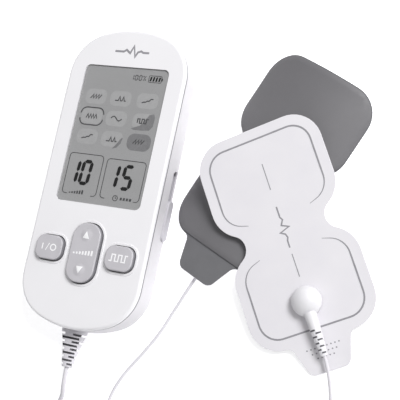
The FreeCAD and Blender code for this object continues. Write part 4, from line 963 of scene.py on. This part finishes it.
def make_rocker_signs():
    """Arrows on low finger bumps, with rising bars between them."""
    x, y, top = box_middle("intensity_key")
    rings, bump_r, bump_h, reach = 8, 2.9, 0.45, 7.6
    spots = (("up", 1), ("down", -1))

    def bump_height(dx, dy):
        share = min(1.0, math.hypot(dx, dy) / bump_r)
        return bump_h * (1 - share * share) ** 1.5

    for name, way in spots:
        profile = [(bump_r + 0.01, top / MM + bump_height(bump_r + 0.01, 0) - 0.018)]
        for k in range(rings + 1):
            radius = bump_r * (1 - k / rings) + 0.01
            profile.append((radius, top / MM + bump_height(radius, 0) + 0.002))
        points, faces = loft(turned(profile, 32, Matrix(), x, y + way * reach))
        bump = add_mesh("rocker_bump_" + name, points, faces, paint["key_grey"], 60)
        attach(bump, "intensity_rocker", "key_grey")
    signs = Print(face_place(top))
    for i in range(7):
        tall = 0.7 + 0.26 * i
        signs.bar(x + (i - 3) * 1.45, y - 1.0 + tall / 2, 0.84, tall)
    attach(signs.build("intensity_sign", paint["print_white"]), "intensity_rocker", "key_grey")

    half, tall, rows, columns = 1.6, 3.1, 8, 6
    for name, way in spots:
        middle = y + way * reach

        def draped(px, py, height):
            level = top / MM + bump_height(px - x, py - middle) + height
            return Vector((px, py, level)) * MM

        sections = []
        for k in range(rows + 1):
            spread, line = half * (1 - k / rows) + 0.01, middle + way * tall * (k / rows - 0.5)
            row = [x + spread * (2 * c / columns - 1) for c in range(columns + 1)]
            sections.append([draped(px, line, 0.05) for px in row]
                            + [draped(px, line, -0.03) for px in reversed(row)])
        arrow = add_mesh("arrow_" + name, *loft(sections), paint["print_white"], 50)
        attach(arrow, "intensity_rocker", "key_grey")


# -------- the rubber mat under the keys
def make_key_mat():
    """A sheet with a dome under each press point."""
    low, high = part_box("key_mat")
    x, y, _ = box_middle("key_mat")
    base = low.z / MM
    sheet_top, corner, edge = base + 0.7, 3.0, 0.15
    outline = rounded_rectangle(x, y, (high.x - low.x) / MM, (high.y - low.y) / MM, corner)
    levels = ((0.0, base), (0.0, sheet_top - edge), (edge, sheet_top))
    rings = [[Vector((x + (px - x) * (1 - inset / 25), y + (py - y) * (1 - inset / 13.5), z)) * MM
              for px, py in outline] for inset, z in levels]
    sheet = add_mesh("key_mat_sheet", *loft(rings), paint["mat_rubber"])
    attach(sheet, "case", "mat_rubber", "key_mat")
    travel = {joint["name"]: joint for joint in frame["joints"]}
    press = travel["power_press"]["range_m"][1] / MM
    rock = math.radians(travel["intensity_rock"]["range_deg"][1])
    rocker_reach, push_radius, rocker_radius, gap = 8.0, 3.2, 2.6, 0.05
    rock_press = (rocker_reach + rocker_radius) * math.sin(rock)
    domes = [("power", "power_press", "power_key", 0.0, push_radius, press),
             ("mode", "mode_press", "mode_key", 0.0, push_radius, press),
             ("up", "intensity_rock", "intensity_key", rocker_reach, rocker_radius, rock_press),
             ("down", "intensity_rock", "intensity_key", -rocker_reach, rocker_radius, rock_press)]
    for name, joint, key, shift, radius, drop in domes:
        dome_x, dome_y = box_middle(key)[0], y + shift
        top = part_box(key)[0].z / MM - gap
        profile = [(1.0, sheet_top), (1.0, sheet_top + 0.2), (0.9, sheet_top + 0.35),
                   (0.68, top - 1.1), (0.64, top - 0.9), (0.64, top - 0.15), (0.58, top)]
        rings = turned([(radius * share, z) for share, z in profile], 28, Matrix(), dome_x, dome_y)
        dome = add_mesh("key_dome_" + name, *loft(rings), paint["mat_rubber"], 45)
        attach(dome, "case", "mat_rubber")
        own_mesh(dome)


# -------- floor and light
def make_stage():
    """A pale floor, a sky that is brighter on one side, and one soft light. All in metres."""
    mesh = bpy.data.meshes.new("floor")
    size = 6.0
    corners = [(-size, -size, 0), (size, -size, 0), (size, size, 0), (-size, size, 0)]
    mesh.from_pydata(corners, [], [(0, 1, 2, 3)])
    floor = bpy.data.objects.new("floor", mesh)
    bpy.context.scene.collection.objects.link(floor)
    floor.location.z = -0.0002
    finish = Finish("floor", "FAFAFB", 0.8, Emission_Color=(1, 1, 1, 1), Emission_Strength=0.55)
    finish.mottle(300, "F8F8FA").grain(2, 0.01, 0.2)
    mesh.materials.append(finish.material)
    world = bpy.data.worlds.new("studio")
    bpy.context.scene.world = world
    world.use_nodes = True
    tree = world.node_tree
    direction = tree.nodes.new("ShaderNodeTexCoord")
    along = tree.nodes.new("ShaderNodeVectorMath")
    along.operation = "DOT_PRODUCT"
    along.inputs[1].default_value = Vector((0.4, 0.1, 0.9)).normalized()
    ramp = tree.nodes.new("ShaderNodeMapRange")
    for end, turned_away, towards in (("From", -0.3, 0.95), ("To", 0.16, 0.56)):
        ramp.inputs[end + " Min"].default_value = turned_away
        ramp.inputs[end + " Max"].default_value = towards
    tree.links.new(direction.outputs["Generated"], along.inputs[0])
    tree.links.new(along.outputs["Value"], ramp.inputs["Value"])
    tree.links.new(ramp.outputs["Result"], tree.nodes["Background"].inputs["Strength"])
    tree.nodes["Background"].inputs["Color"].default_value = (1, 1, 1, 1)
    bpy.context.scene.view_settings.view_transform = "Standard"
    add_light("key", (0.8, 0.58, 1.05), 0.57, 16.6)


def add_light(name, where, size, power):
    data = bpy.data.lights.new(name, "AREA")
    data.shape = "DISK"
    data.size = size
    data.energy = power
    light = bpy.data.objects.new(name, data)
    bpy.context.scene.collection.objects.link(light)
    light.location = where
    target = Vector((0.045, 0.0, 0.0))
    light.rotation_euler = (target - Vector(where)).to_track_quat("-Z", "Y").to_euler()


# -------- all of it
make_camera()
place_a, place_b = pad_place("pad_a_swivel", 28, 1), pad_place("pad_b_swivel", -24, -1)
paint = make_finishes()
paint_nodes()
cords, ties = make_cords()
make_plug_boot()
snaps = {"a": make_snap("a", place_a), "b": make_snap("b", place_b)}
make_pads()
make_display()
make_signs()
make_key_mat()
make_stage()
